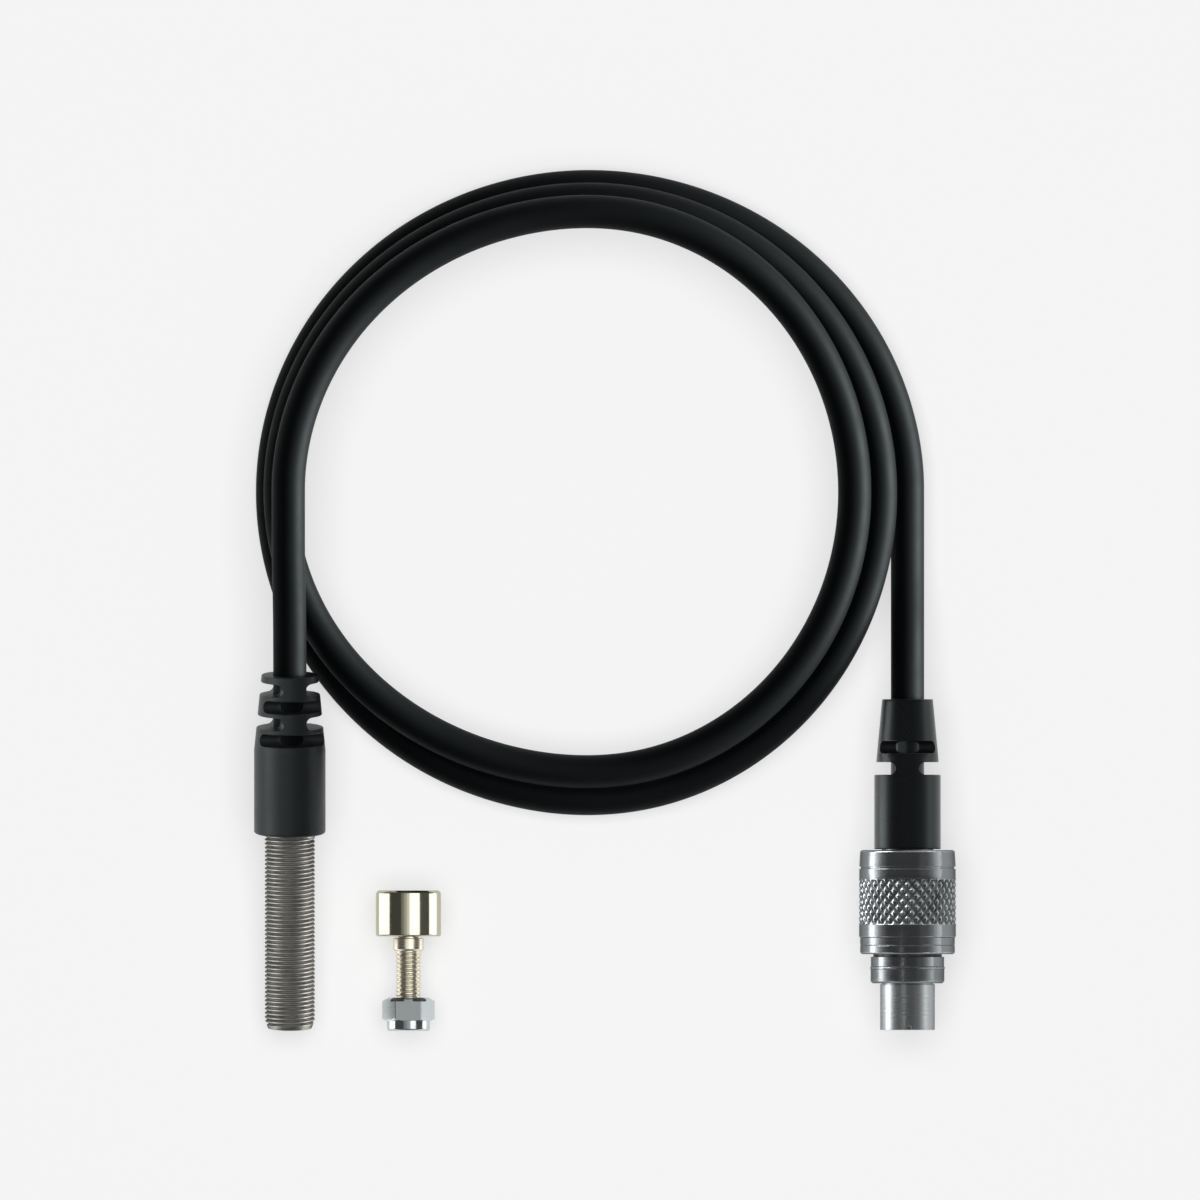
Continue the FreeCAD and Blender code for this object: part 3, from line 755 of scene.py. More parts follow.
@dataclass(frozen=True)
class Moulding(Finish):
    """Moulded plastic, rubber or resin.

    Attributes:
        coat: Weight of a clear gloss on it.
        gloss: Its specular level, where 0.5 is plain plastic.
        sheen: The tint of what it mirrors.
    """

    coat: float = 0.0
    gloss: float = 0.5
    sheen: Colour = (1.0, 1.0, 1.0)

    def material(self) -> bpy.types.Material:
        """Builds the material.

        Returns:
            The material.
        """
        material, graph, shader, grain, dirt_and_shade = self.start()
        varied = graph.remap(grain["Shade"], 1 - self.contrast / 4, 1 + self.contrast / 4,
                             self.roughness - 0.05, self.roughness + 0.05)
        dull = graph.sum("MULTIPLY", dirt_and_shade["Mask"], 0.4)
        graph.feed(shader["Roughness"], graph.sum("ADD", varied, dull, True))
        bump = graph.add("Bump", {"Height": grain["Height"], "Distance": self.grain_depth})
        graph.feed(shader["Normal"], bump.outputs[0])
        graph.feed(shader["Coat Weight"], self.coat)
        graph.feed(shader["Specular IOR Level"], self.gloss)
        graph.feed(shader["Specular Tint"], self.sheen)
        return material


class Finishes:
    """Every finish by its name, and the CAD nodes that keep their meshes."""

    def __init__(self) -> None:
        """Builds the material of each finish."""
        finishes = (
            # Its dark colour, at nine tenths, darkens the thread's grooves.
            Metal("barrel_nickel", (0.44, 0.43, 0.40), 0.34, rubbed=(0.78, 0.77, 0.73),
                  dirt_and_shade=(0.035, 0.033, 0.028), dirt_and_shade_share=0.9, wear=0.55, line_depth=1e-6,
                  grain_depth=2.5e-6, edge_tint=0.1),
            # Painted shade: the ring's nickel is made darker than the shell's nickel (spigot_nickel). Its
            # near-black colour for grime, at 0.95, paints shade in the knurl, in the corners of its turned
            # grooves and in the neck in front of the ring.
            Metal("plug_nickel", (0.25, 0.267, 0.275), 0.17, rubbed=(0.84, 0.86, 0.87),
                  dirt_and_shade=(0.012, 0.014, 0.016), dirt_and_shade_share=0.95, wear=0.6, line_depth=2.5e-6, lines=500.0,
                  edge_tint=0.35),
            Metal("spigot_nickel", (0.44, 0.465, 0.475), 0.32, rubbed=(0.84, 0.86, 0.87), dirt_and_shade_share=0.3,
                  wear=0.6, line_depth=3e-6, lines=500.0, edge_tint=0.35),
            Metal("cup_nickel", (0.58, 0.565, 0.43), 0.13, rubbed=(0.7, 0.69, 0.6),
                  dirt_and_shade=(0.08, 0.075, 0.06), dirt_and_shade_share=0.15, wear=0.3, line_depth=2e-7, grain_depth=2e-7,
                  contrast=0.12, streak=0.03),
            Metal("stud_nickel", (0.9, 0.85, 0.7), 0.3, rubbed=(0.93, 0.88, 0.72), dirt_and_shade=(0.3, 0.25, 0.15),
                  dirt_and_shade_share=0.12, wear=0.4, line_depth=1e-6, grain_depth=6e-7, contrast=0.2),
            # The nut's near-black colour for grime, at 0.95, paints shade on its upper chamfer corners.
            Metal("nut_zinc", (0.63, 0.68, 0.69), 0.14, rubbed=(0.85, 0.88, 0.9),
                  dirt_and_shade=(0.008, 0.009, 0.01), dirt_and_shade_share=0.95, wear=0.4, line_depth=3e-7, grain_depth=2e-6,
                  grain_scale=9000.0, contrast=0.35),
            Metal("magnet_face", (0.62, 0.60, 0.57), 0.3, dirt_and_shade_share=0.3, wear=0.4, line_depth=5e-7,
                  grain_depth=3e-6, contrast=0.4),
            Metal("lead_tin", (0.75, 0.74, 0.70), 0.3, contrast=0.3),
            Metal("ferrule_brass", (0.80, 0.58, 0.26), 0.28, contrast=0.3),
            Metal("pin_gold", (0.95, 0.70, 0.28), 0.2, grain_depth=1e-6, contrast=0.2),
            Metal("spring_steel", (0.45, 0.46, 0.48), 0.32, contrast=0.3),
            Moulding("boot_black", (0.006, 0.0066, 0.0072), 0.42, rubbed=(0.03, 0.032, 0.034),
                     grain_depth=6e-6, dirt_and_shade_share=0.04, sheen=COOL),
            Moulding("plug_black", (0.003, 0.0035, 0.004), 0.3, rubbed=(0.02, 0.022, 0.024),
                     grain_depth=3e-6, dirt_and_shade_share=0.02, sheen=COOL),
            Moulding("cable_jacket", (0.001, 0.0013, 0.0015), 0.6, dirt_and_shade_share=0.006, gloss=0.12,
                     grain_depth=3e-6, grain_scale=9000.0, sheen=COOL),
            Moulding("sensing_plastic", (0.02, 0.021, 0.024), 0.35, rubbed=(0.06, 0.06, 0.065),
                     grain_depth=3e-6),
            Moulding("insert_black", (0.016, 0.016, 0.018), 0.4, rubbed=(0.05, 0.05, 0.05),
                     grain_depth=3e-6),
            Moulding("seal_rubber", (0.012, 0.012, 0.012), 0.6, dirt_and_shade_share=0.15, grain_depth=5e-6),
            Moulding("chip_epoxy", (0.018, 0.018, 0.02), 0.5, grain_depth=4e-6),
            Moulding("board_laminate", (0.02, 0.16, 0.06), 0.35, contrast=0.4, grain_depth=2e-6, coat=0.4),
            Moulding("component_body", (0.05, 0.045, 0.04), 0.45),
            Moulding("potting_epoxy", (0.03, 0.028, 0.026), 0.2, grain_depth=1e-6, coat=0.5),
            Moulding("core_red", (0.45, 0.02, 0.015), 0.4, contrast=0.2),
            Moulding("core_black", (0.01, 0.01, 0.01), 0.4, contrast=0.2),
            Moulding("core_white", (0.75, 0.74, 0.70), 0.4, contrast=0.2),
            Moulding("core_moulding", (0.55, 0.53, 0.48), 0.45, contrast=0.3),
            Moulding("nut_nylon", (0.62, 0.66, 0.62), 0.35, rubbed=(0.75, 0.78, 0.74), grain_depth=3e-6,
                     contrast=0.2),
        )
        self.by_name = {finish.name: finish.material() for finish in finishes}

    def dress(self, piece: bpy.types.Object, slot: str, body: Body, *nodes: str,
              finish: str = "") -> None:
        """Finishes a new piece.

        Args:
            piece: The piece.
            slot: The material slot that it takes its finish from.
            body: The CAD body that it rides on.
            nodes: The CAD nodes that it stands for.
            finish: Its own finish, where the slot's is too general.
        """
        piece.data.materials.append(self.by_name[finish or slot])
        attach(piece, body.value)
        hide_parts(*nodes)
        log.info("%s rides on %s", piece.name, body.value)

    def dress_nodes(self) -> None:
        """Gives each CAD node that stays its detailed material."""
        kept = {
            "cable_jacket": ("cable_tail_sensor",),
            "plug_black": ("cable_tail_plug",),
            "ferrule_brass": ("sensor_ferrule", "plug_ferrule"),
            "core_red": ("sensor_wire_supply", "plug_wire_supply"),
            "core_black": ("sensor_wire_ground", "plug_wire_ground"),
            "core_white": ("sensor_wire_signal", "plug_wire_signal"),
            "board_laminate": ("sensor_board",),
            "chip_epoxy": ("hall_sensor_chip",),
            "lead_tin": ("chip_leads",),
            "component_body": ("board_components",),
            "potting_epoxy": ("potting_resin",),
            "core_moulding": ("plug_core",),
            "insert_black": ("contact_insert",),
            "pin_gold": ("contact_pins",),
            "seal_rubber": ("spigot_seal",),
            "spring_steel": ("ring_circlip",),
        }
        for finish, names in kept.items():
            for name in names:
                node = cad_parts[name]
                node.data.materials.clear()
                node.data.materials.append(self.by_name[finish])
                log.info("%s keeps its CAD mesh in %s", name, finish)


@dataclass
class Assembly:
    """A sub-assembly. Its sizes are radii, heights along its axis and widths, in millimetres.

    Attributes:
        finishes: Where its pieces take their finish from.
        seat: Where its own axes lie.
    """

    finishes: Finishes
    seat: Seat

    def make(self, skin: Skin, name: str, node: str, slot: str, body: Body, finish: str = "",
             crease: float = 180.0) -> None:
        """Makes a piece from its surface and finishes it.

        Args:
            skin: The surface.
            name: The piece's name.
            node: The CAD node that it stands for.
            slot: The material slot that it takes its finish from.
            body: The CAD body that it rides on.
            finish: Its own finish, where the slot's is too general.
            crease: Angle in degrees above which an edge is drawn sharp.
        """
        self.finishes.dress(skin.piece(name, self.seat, crease), slot, body, node, finish=finish)


@dataclass
class PickupHead(Assembly):
    """The threaded pickup: moulded boot, barrel and sensing face."""

    seat: Seat = Seat((-6.92, 21.1385, 8.7827), (0.0, -0.9902681, -0.1391731))
    boot_length: float = 19.2
    boot_radius: float = 4.29
    boot_end_radius: float = 3.4
    taper_length: float = 9.1
    major_radius: float = 3.0
    bore_radius: float = 2.3
    tail_radius: float = 2.75
    anchor_radius: float = 2.95
    tail_start: float = 15.5
    anchor_start: float = 16.3
    anchor_end: float = 17.5
    collar_start: float = 19.25
    tip: float = 42.8
    chamfer_start: float = 41.76
    tip_radius: float = 2.635
    face_start: float = 41.6
    thread: Thread = Thread(pitch=0.5, depth=0.27, start=19.5, end=42.4, lead_in=26.0)
    rows_per_turn: int = 12
    columns: int = 96

    def boot(self) -> None:
        """Makes the boot with its relief slots."""
        boot = MouldedBoot(
            wall=((self.boot_end_radius, 0.0), (self.boot_radius, self.taper_length),
                  (self.boot_radius, self.boot_length)),
            first_slot=0.84, pitch=2.0, count=4, start=SlotStart.SIDES, bore=2.05, roll=-10.0,
            mouth_edge=0.1, far_edge=0.3)
        self.make(boot.skin(), "pickup_boot", "sensor_boot", "boot_black", Body.ROOT, crease=boot.crease)

    def barrel(self) -> None:
        """Makes the barrel: a turned tube whose outer wall carries the thread through its chamfer."""
        below = rounded([
            (self.bore_radius, BORE_SEAM, 0), (self.bore_radius, self.tail_start, 0.05),
            (self.tail_radius, self.tail_start, 0.05), (self.tail_radius, self.anchor_start, 0.03),
            (self.anchor_radius, self.anchor_start, 0.03), (self.anchor_radius, self.anchor_end, 0.03),
            (self.tail_radius, self.anchor_end, 0.03), (self.tail_radius, self.collar_start, 0.02),
            (self.major_radius, self.collar_start, 0.06), (self.major_radius, self.collar_start + 0.2, 0)])
        step = self.thread.pitch / self.rows_per_turn
        heights = np.arange(self.collar_start + 0.25, self.tip - 0.12, step)
        slope = (self.major_radius - self.tip_radius) / (self.tip - self.chamfer_start)
        wall = np.minimum(self.major_radius, self.tip_radius + slope * (self.tip - heights))
        above = rounded([
            (self.tip_radius + 0.1 * slope, self.tip - 0.1, 0), (self.tip_radius, self.tip, 0.05),
            (self.bore_radius, self.tip, 0.04), (self.bore_radius, BORE_SEAM + 1.0, 0)])
        rows = np.concatenate((below, stretch(wall, heights), above))
        skin = Skin.turned(rows, even_angles(self.columns), True)
        self.thread.cut(skin)
        self.make(skin, "pickup_barrel", "threaded_barrel", "barrel_nickel", Body.ROOT)

    def face(self) -> None:
        """Makes the cap that closes the tip, slightly dished."""
        radius = self.bore_radius - 0.05
        rows = rounded([(0, self.face_start, 0), (radius, self.face_start, 0.05), (radius, self.tip, 0.08),
                        (0.75 * radius, self.tip - 0.03, 0.1), (0, self.tip - 0.05, 0)])
        skin = Skin.turned(rows, even_angles(72), False)
        self.make(skin, "pickup_face", "sensing_face", "sensing_plastic", Body.ROOT)

    def build(self) -> None:
        """Makes the pickup's pieces in order."""
        self.boot()
        self.barrel()
        self.face()


@dataclass
class RoundPlug(Assembly):
    """The plug: moulded boot, shell with its spigot, and knurled coupling ring with its nose."""

    seat: Seat = Seat((67.2, 18.2, 5.82), (0.0, -1.0, 0.0))
    boot_length: float = 18.0
    boot_radius: float = 3.985
    boot_step_radius: float = 3.9
    boot_end_radius: float = 3.05
    taper_length: float = 9.1
    shell_bore: float = 2.7
    shell_tail_radius: float = 3.05
    shell_body_radius: float = 3.1
    flange_radius: float = 4.0
    spigot_radius: float = 3.275
    shell_start: float = 14.0
    flange_start: float = 24.0
    flange_end: float = 25.2
    nose_end: float = 34.1
    spigot_end: float = 39.7
    rim_length: float = 1.0
    notch_width: float = 0.66
    notch_depth: float = 0.5
    notch_offset: float = 0.2
    ring_start: float = 18.1
    ring_end: float = 30.6
    knurl_radius: float = 5.82
    knurl_start: float = 21.6
    knurl_end: float = 27.05
    knurl_depth: float = 0.27
    knurls_round: int = 32
    knurls_long: int = 4
    columns_per_knurl: int = 10
    rows_per_knurl: int = 12
    knurl_top: float = 0.9
    nose_edge_radius: float = 4.3
    front_band_start: float = 32.35
    groove_end: float = 30.93

    def boot(self) -> None:
        """Makes the boot with its two relief slots."""
        boot = MouldedBoot(
            wall=((self.boot_end_radius, 0.0), (self.boot_step_radius, self.taper_length),
                  (self.boot_radius, self.taper_length + 0.02), (self.boot_radius, self.boot_length)),
            first_slot=5.0, pitch=2.56, count=2, start=SlotStart.FRONT_AND_BACK, bore=2.05,
            mouth_edge=0.12, far_edge=0.12, far_bore=3.15)
        self.make(boot.skin(), "plug_moulding", "plug_boot", "boot_black", Body.ROOT, "plug_black",
                  boot.crease)

    def shell(self) -> None:
        """Makes the shell, whose rim dips at the key notch.

        The dip is the depth of a slot with a round bottom: the notch's depth less its radius plus
        the height of its circle, at the distance across from its middle.
        """
        spigot_start = self.nose_end + 0.1
        rim_start = self.spigot_end - self.rim_length
        below = rounded([
            (self.shell_bore, BORE_SEAM, 0), (self.shell_bore, self.shell_start, 0.04),
            (self.shell_tail_radius, self.shell_start, 0.05),
            (self.shell_tail_radius, self.boot_length, 0.01),
            (self.shell_body_radius, self.boot_length, 0.01),
            (self.shell_body_radius, self.flange_start, 0.03), (self.flange_radius, self.flange_start, 0.05),
            (self.flange_radius, self.flange_end, 0.05), (self.shell_body_radius, self.flange_end, 0.03),
            (self.shell_body_radius, spigot_start, 0.02), (self.spigot_radius, spigot_start, 0.03),
            (self.spigot_radius, self.spigot_end - 1.2, 0)])
        rim = rounded([
            (self.spigot_radius, rim_start, 0), (self.spigot_radius, self.spigot_end, 0.07),
            (self.shell_bore, self.spigot_end, 0.06), (self.shell_bore, rim_start, 0)], steps=7)
        seam = stretch(np.full(1, self.shell_bore), np.full(1, BORE_SEAM + 1.0))
        rows = np.concatenate((below, rim, seam))
        half = self.notch_width / 2
        middle = math.pi / 2 - math.asin(self.notch_offset / self.spigot_radius)
        spread = half / self.spigot_radius
        one_side = np.array((0.25, 0.5, 0.75, 0.9, 0.98, 1.02, 1.25))
        near = middle + spread * np.concatenate((-one_side[::-1], (0.0,), one_side))
        others = even_angles(120)
        others = others[np.abs(others - middle) > 1.4 * spread]
        angle = np.sort(np.concatenate((near, others)))
        skin = Skin.turned(rows, angle, True)
        across = (skin.angle - middle) * self.spigot_radius
        dip = self.notch_depth - half + np.sqrt(np.maximum(0.0, half ** 2 - across ** 2))
        share = np.clip((skin.height - rim_start) / self.rim_length, 0.0, 1.0)
        skin.height -= np.where(np.abs(across) < half, dip, 0.0) * share
        self.make(skin, "plug_tube", "plug_shell", "plug_nickel", Body.ROOT, "spigot_nickel", crease=50)

    def ring(self) -> None:
        """Makes the coupling ring and nose, turned, with a real diamond knurl.

        Two families of grooves cross at turn * number round plus and minus share * number long. Each
        groove's distance is how far that sum is from a whole number, doubled, and the surface stands
        up by the lesser of the two distances, cut off at the diamonds' flat tops.
        """
        below = rounded([
            (4.075, 23.3, 0), (4.075, self.ring_start, 0.06), (5.49, self.ring_start, 0.08),
            (5.69, 18.3, 0.08), (5.79, 20.1, 0.05), (5.61, 20.1, 0.03), (5.61, 20.35, 0.03),
            (5.79, 20.35, 0.05), (5.8, self.knurl_start - 0.05, 0)])
        heights = np.linspace(self.knurl_start, self.knurl_end, self.knurls_long * self.rows_per_knurl + 1)
        knurl = stretch(np.full(len(heights), self.knurl_radius), heights)
        above = rounded([
            (self.knurl_radius, self.knurl_end + 0.05, 0), (self.knurl_radius, 28.5, 0.05),
            (5.69, 28.6, 0.04), (5.69, 29.46, 0.03), (5.63, 29.5, 0.03), (5.63, 29.56, 0.03),
            (5.69, 29.6, 0.03), (5.69, 30.4, 0.08), (5.49, self.ring_end, 0.07), (4.12, self.ring_end, 0.02),
            (4.12, 30.92, 0.02), (4.4, 30.92, 0.05), (4.4, 32.1, 0.04), (4.5, 32.2, 0.04),
            (4.5, 32.3, 0.04), (4.43, 32.4, 0.04), (4.43, 33.85, 0.07), (4.18, self.nose_end, 0.07),
            (3.905, self.nose_end, 0.05), (3.905, 33.3, 0.04), (3.175, 33.3, 0.03), (3.175, 25.3, 0.04),
            (4.075, 25.3, 0.04), (4.075, 23.95, 0.02), (4.425, 23.95, 0.04), (4.425, 23.31, 0)])
        rows = np.concatenate((below, knurl, above))
        skin = Skin.turned(rows, even_angles(self.knurls_round * self.columns_per_knurl), True)
        span = self.knurl_end - self.knurl_start
        share = (skin.height - self.knurl_start) / span
        patterned = (skin.radius > self.knurl_radius - 0.001) & (share > -0.001) & (share < 1.001)
        turn = skin.angle / FULL_TURN * self.knurls_round
        rise = share * self.knurls_long
        distances = [2 * np.abs(total - np.round(total)) for total in (turn + rise, turn - rise)]
        top = np.minimum(np.minimum(distances[0], distances[1]) * 1.1, self.knurl_top) / self.knurl_top
        sunk = np.where(patterned, 1 - top, 0.0)
        fade = smooth(share * span / 0.12) * smooth((1 - share) * span / 0.12)
        skin.radius -= self.knurl_depth * sunk * fade
        # Painted shade: the deeper part of each knurl groove is marked, and the ring's near-black colour for
        # grime paints it dark.
        skin.hollow = np.maximum(skin.hollow, smooth((sunk - 0.35) / 0.35) * fade)
        skin.edge = np.maximum(skin.edge, np.where(patterned, smooth((top - 0.3) / 0.7) * 0.8, 0.0))
        # The nose's front band is made a little darker: it is marked at a fifth of full strength.
        on_nose = (skin.height > self.front_band_start) & (skin.radius > self.nose_edge_radius)
        skin.hollow = np.maximum(skin.hollow, np.where(on_nose, 0.2, 0.0))
        # Painted shadow: the neck between the ring and the nose is marked in full, so the ring's finish
        # paints it near black.
        painted_shadow_gap = (skin.height > self.ring_end - 0.01) & (skin.height < self.groove_end)
        painted_shadow_gap &= skin.radius < self.nose_edge_radius
        skin.hollow = np.maximum(skin.hollow, np.where(painted_shadow_gap, 1.0, 0.0))
        self.make(skin, "knurled_ring", "coupling_ring", "plug_nickel", Body.RING)

    def build(self) -> None:
        """Makes the plug's pieces in order."""
        self.boot()
        self.shell()
        self.ring()


@dataclass
class TargetMagnet(Assembly):
    """The magnet in its pot, its threaded stud, and the lock nut."""

    seat: Seat = Seat((7.31, -4.7417, 3.9), (0.0, -1.0, 0.0))
    cup_radius: float = 3.9
    cup_length: float = 5.52
    cup_hole: float = 1.28
    cavity_radius: float = 3.3
    cavity_end: float = 4.32
    disc_start: float = 0.1
    disc_end: float = 4.27
    stud_root: float = 1.23
    stud_radius: float = 1.5
    stud_start: float = 7.27
    stud_end: float = 16.87
    neck_radius: float = 1.65
    collar_radius: float = 1.83
    nut_flats: float = 5.5
    nut_start: float = 12.87
    hex_end: float = 15.62
    nut_hole: float = 1.54
    nut_end_radius: float = 2.55
    pocket_radius: float = 2.09
    pocket_start: float = 15.37
    pocket_end: float = 16.67
    insert_radius: float = 2.04
    insert_start: float = 15.42
    insert_end: float = 16.62
    # Shade painted on the nut's two upper chamfer corners: how high it reaches, how far round from each
    # corner in degrees, and how strong it is.
    painted_shade_height: float = 0.46
    painted_shade_reach: float = 19.0
    painted_shade: float = 2.0
    thread: Thread = Thread(pitch=0.5, depth=0.17, start=7.5, end=16.6, mouth=0.7)

    def cup(self) -> None:
        """Makes the pot."""
        rows = rounded([
            (self.cavity_radius, 0, 0.05), (3.6, 0, 0.08), (self.cup_radius, 0.3, 0.1),
            (self.cup_radius, 5.37, 0.08), (3.75, self.cup_length, 0.07),
            (self.cup_hole, self.cup_length, 0.05), (self.cup_hole, self.cavity_end, 0.03),
            (self.cavity_radius, self.cavity_end, 0.05)], ring=True, steps=6)
        skin = Skin.turned(rows, even_angles(128), True)
        self.make(skin, "magnet_pot", "magnet_cup", "cup_nickel", Body.TARGET)

    def disc(self) -> None:
        """Makes the magnet in the pot."""
        radius = self.cavity_radius - 0.05
        rows = rounded([(0, self.disc_start, 0), (0.5 * radius, self.disc_start, 0.02),
                        (radius, self.disc_start, 0.12), (radius, self.disc_end, 0.08),
                        (0, self.disc_end, 0)])
        skin = Skin.turned(rows, even_angles(96), False)
        self.make(skin, "magnet_slug", "magnet_disc", "magnet_face", Body.TARGET)

    def stud(self) -> None:
        """Makes the stud with its collar and thread."""
        below = rounded([
            (0, self.cavity_end, 0), (self.stud_root, self.cavity_end, 0.04), (self.stud_root, 5.57, 0.02),
            (self.neck_radius, 5.57, 0.02), (self.neck_radius, 5.77, 0.04), (self.collar_radius, 5.77, 0.05),
            (self.collar_radius, 7.07, 0.06), (1.6, self.stud_start, 0.04),
            (self.stud_radius, self.stud_start + 0.02, 0.02), (self.stud_radius, 7.36, 0)])
        heights = np.arange(7.4, 16.5, self.thread.pitch / 12)
        wall = stretch(np.full(len(heights), self.stud_radius), heights)
        above = rounded([(self.stud_radius, 16.52, 0), (self.stud_radius, 16.57, 0.02),
                         (1.2, self.stud_end, 0.07), (0, self.stud_end, 0)])
        skin = Skin.turned(np.concatenate((below, wall, above)), even_angles(72), False)
        self.thread.cut(skin)
        self.make(skin, "threaded_stud", "magnet_stud", "stud_nickel", Body.TARGET)

    def nut(self) -> None:
        """Makes the lock nut, with shade painted near black on the chamfer at its two upper corners.

        The radius is the lesser of the turned outline's and the hexagon's, which is half the width
        across flats over the cosine of the angle from the nearest flat's middle, and its corners
        are cut off by a slightly smaller circle.
        """
        corner = self.nut_flats / 2 / math.cos(math.radians(30))
        cone = np.linspace(corner - 0.8, corner, 14)
        below = rounded([(self.nut_hole, 14.0, 0), (self.nut_hole, self.nut_start, 0.08),
                         (corner - 0.85, self.nut_start, 0.03), (corner - 0.8, self.nut_start + 0.01, 0)])
        chamfer = stretch(cone, self.nut_start + 0.02 + 0.5 * (cone - cone[0]))
        sides = stretch(np.full(5, corner), np.linspace(self.nut_start + 0.5, self.hex_end - 0.24, 5))
        back = np.linspace(corner, corner - 0.4, 8)
        back_chamfer = stretch(back, self.hex_end - 0.2 + 0.5 * (corner - back))
        above = rounded([
            (corner - 0.42, self.hex_end, 0), (self.nut_end_radius, self.hex_end, 0.04),
            (self.nut_end_radius, self.pocket_end, 0.1), (2.35, self.stud_end, 0.08),
            (1.85, self.stud_end, 0.04), (1.85, self.pocket_end, 0.03),
            (self.pocket_radius, self.pocket_end, 0.02), (self.pocket_radius, self.pocket_start, 0.03),
            (self.nut_hole, self.pocket_start, 0.04), (self.nut_hole, 14.1, 0)])
        rows = np.concatenate((below, chamfer, sides, back_chamfer, above))
        offsets = np.array((0.0, 0.7, 1.4, 2.2, 3.4, 5.5, 9.0, 13.0, 17.0, 21.5, 26.0))
        sector = np.concatenate((offsets, 60 - offsets[:0:-1]))
        angle = np.radians((60 * np.arange(6)[:, None] + sector).ravel())
        skin = Skin.turned(rows, angle, True)
        from_flat = np.mod(skin.angle, np.pi / 3) - np.pi / 6
        hexagon = np.minimum(self.nut_flats / 2 / np.cos(from_flat), corner - 0.02)
        on_corner = smooth((hexagon - (corner - 0.12)) / 0.1) * (skin.radius > hexagon - 1e-6)
        skin.edge = np.maximum(skin.edge, on_corner)
        # Painted shade: the chamfer at the two upper corners, those towards the viewer, is marked at twice
        # full strength, so the nut's finish paints it near black.
        from_upper = np.abs(np.abs(np.mod(skin.angle, FULL_TURN) - np.pi / 2) - np.pi / 6)
        painted_shade_spot = (skin.height < self.nut_start + self.painted_shade_height) & (skin.radius > corner - 0.8)
        painted_shade_spot &= from_upper < np.radians(self.painted_shade_reach)
        skin.hollow = np.where(painted_shade_spot, self.painted_shade, 0.0)
        skin.radius = np.minimum(skin.radius, hexagon)
        self.make(skin, "stud_nut", "lock_nut", "nut_zinc", Body.NUT, crease=28)

    def insert(self) -> None:
        """Makes the nylon ring in the nut."""
        low, high, radius = self.insert_start, self.insert_end, self.insert_radius
        rows = rounded([(self.nut_hole, low, 0.05), (radius, low, 0.05), (radius, high, 0.1),
                        (self.nut_hole, high, 0.15)], ring=True)
        skin = Skin.turned(rows, even_angles(72), True)
        self.make(skin, "nylon_ring", "nut_insert", "nut_nylon", Body.NUT_CARRIER)

    def build(self) -> None:
        """Makes the magnet's pieces in order."""
        self.cup()
        self.disc()
        self.stud()
        self.nut()
        self.insert()


@dataclass
class CoiledLead:
    """The cable: up from the pickup's boot on to the pile, two and a half turns, and to the plug.

    Its sizes are in millimetres.

    Attributes:
        finishes: Where it takes its finish from.
        diameter: Its diameter.
        centre: The coil's centre.
        stations: How far the cable's middle is from the coil's centre and how high it lies, at the
            left, top, right and bottom of each turn.
        pickup_end: Control points from the pickup's boot to the coil.
        plug_end: Control points from the coil to the plug's boot.
        points_per_quarter: Control points on each quarter turn.
        length: Its length between the boots. Not used.
        on_it: The separate pieces at its far end. Not used.
    """

    finishes: Finishes
    diameter: float = 4.0
    centre: tuple[float, float] = (29.0, 43.05)
    stations: tuple[tuple[float, float], ...] = (
        (36.1, 10.95), (33.66, 10.6), (31.86, 9.2), (33.54, 5.4), (37.1, 6.5), (35.16, 6.25), (34.98, 5.9),
        (36.78, 2.0), (38.0, 2.0), (36.66, 2.0), (38.2, 2.65))
    pickup_end: tuple[Point, ...] = (
        (-6.92, 21.1385, 8.7827), (-6.92, 25.8918, 9.4507), (-7.0, 31.5, 10.5), (-7.1, 35.4, 10.95),
        (-7.1, 39.05, 10.95))
    plug_end: tuple[Point, ...] = (
        (67.2, 39.05, 2.65), (67.2, 34.9, 2.65), (67.2, 30.75, 3.45), (67.2, 26.45, 5.05),
        (67.2, 22.35, 5.82), (67.2, 18.2, 5.82))
    points_per_quarter: int = 6
    length: float = 605.5
    on_it: tuple[str, ...] = (
        "cable_tail_plug", "plug_ferrule", "plug_wire_supply", "plug_wire_ground", "plug_wire_signal",
        "plug_core", "contact_insert", "contact_pins", "spigot_seal", "ring_circlip", "plug_moulding",
        "plug_tube", "knurled_ring")

    def turns(self) -> Array:
        """Works out the control points of the turns.

        Each quarter turn is a quarter of an ellipse between two stations. Its points lie on the
        polygon that the ellipse touches: centre + half-width * cosine or sine of the angle over the
        cosine of half a step. The height goes from one to the next by half a cosine wave.

        Returns:
            Points in millimetres, from the pickup's side to the plug's.
        """
        count = self.points_per_quarter
        reach, level = np.array(self.stations).T
        quarter = np.arange(len(reach) - 1)[:, None]
        across, along = reach[quarter + quarter % 2], reach[quarter + 1 - quarter % 2]
        share = (np.arange(count) + 0.5) / count
        angle = np.pi - (quarter + share) * np.pi / 2
        outset = math.cos(math.pi / 4 / count)
        x = self.centre[0] + across * np.cos(angle) / outset
        y = self.centre[1] + along * np.sin(angle) / outset
        ease = (1 - np.cos(np.pi * share)) / 2
        z = level[:-1, None] + np.diff(level)[:, None] * ease
        return np.stack((x, y, z), axis=-1).reshape(-1, 3)

    def build(self) -> None:
        points = np.concatenate((self.pickup_end, self.turns(), self.plug_end)) * MM
        curve = bpy.data.curves.new("lead_cable", "CURVE")
        curve.dimensions = "3D"
        spline = curve.splines.new("NURBS")
        spline.points.add(len(points) - 1)
        spline.points.foreach_set("co", np.concatenate((points, np.ones((len(points), 1))), axis=1).ravel())
        spline.order_u = 3
        spline.use_endpoint_u = True
        curve.resolution_u = 12
        curve.bevel_depth = self.diameter / 2 * MM
        curve.bevel_resolution = 8
        curve.use_fill_caps = True
        lead = bpy.data.objects.new("lead_cable", curve)
        bpy.context.scene.collection.objects.link(lead)
        self.finishes.dress(lead, "cable_jacket", Body.ROOT, "cable_lead_sensor", "cable_coil",
                            "cable_lead_plug")


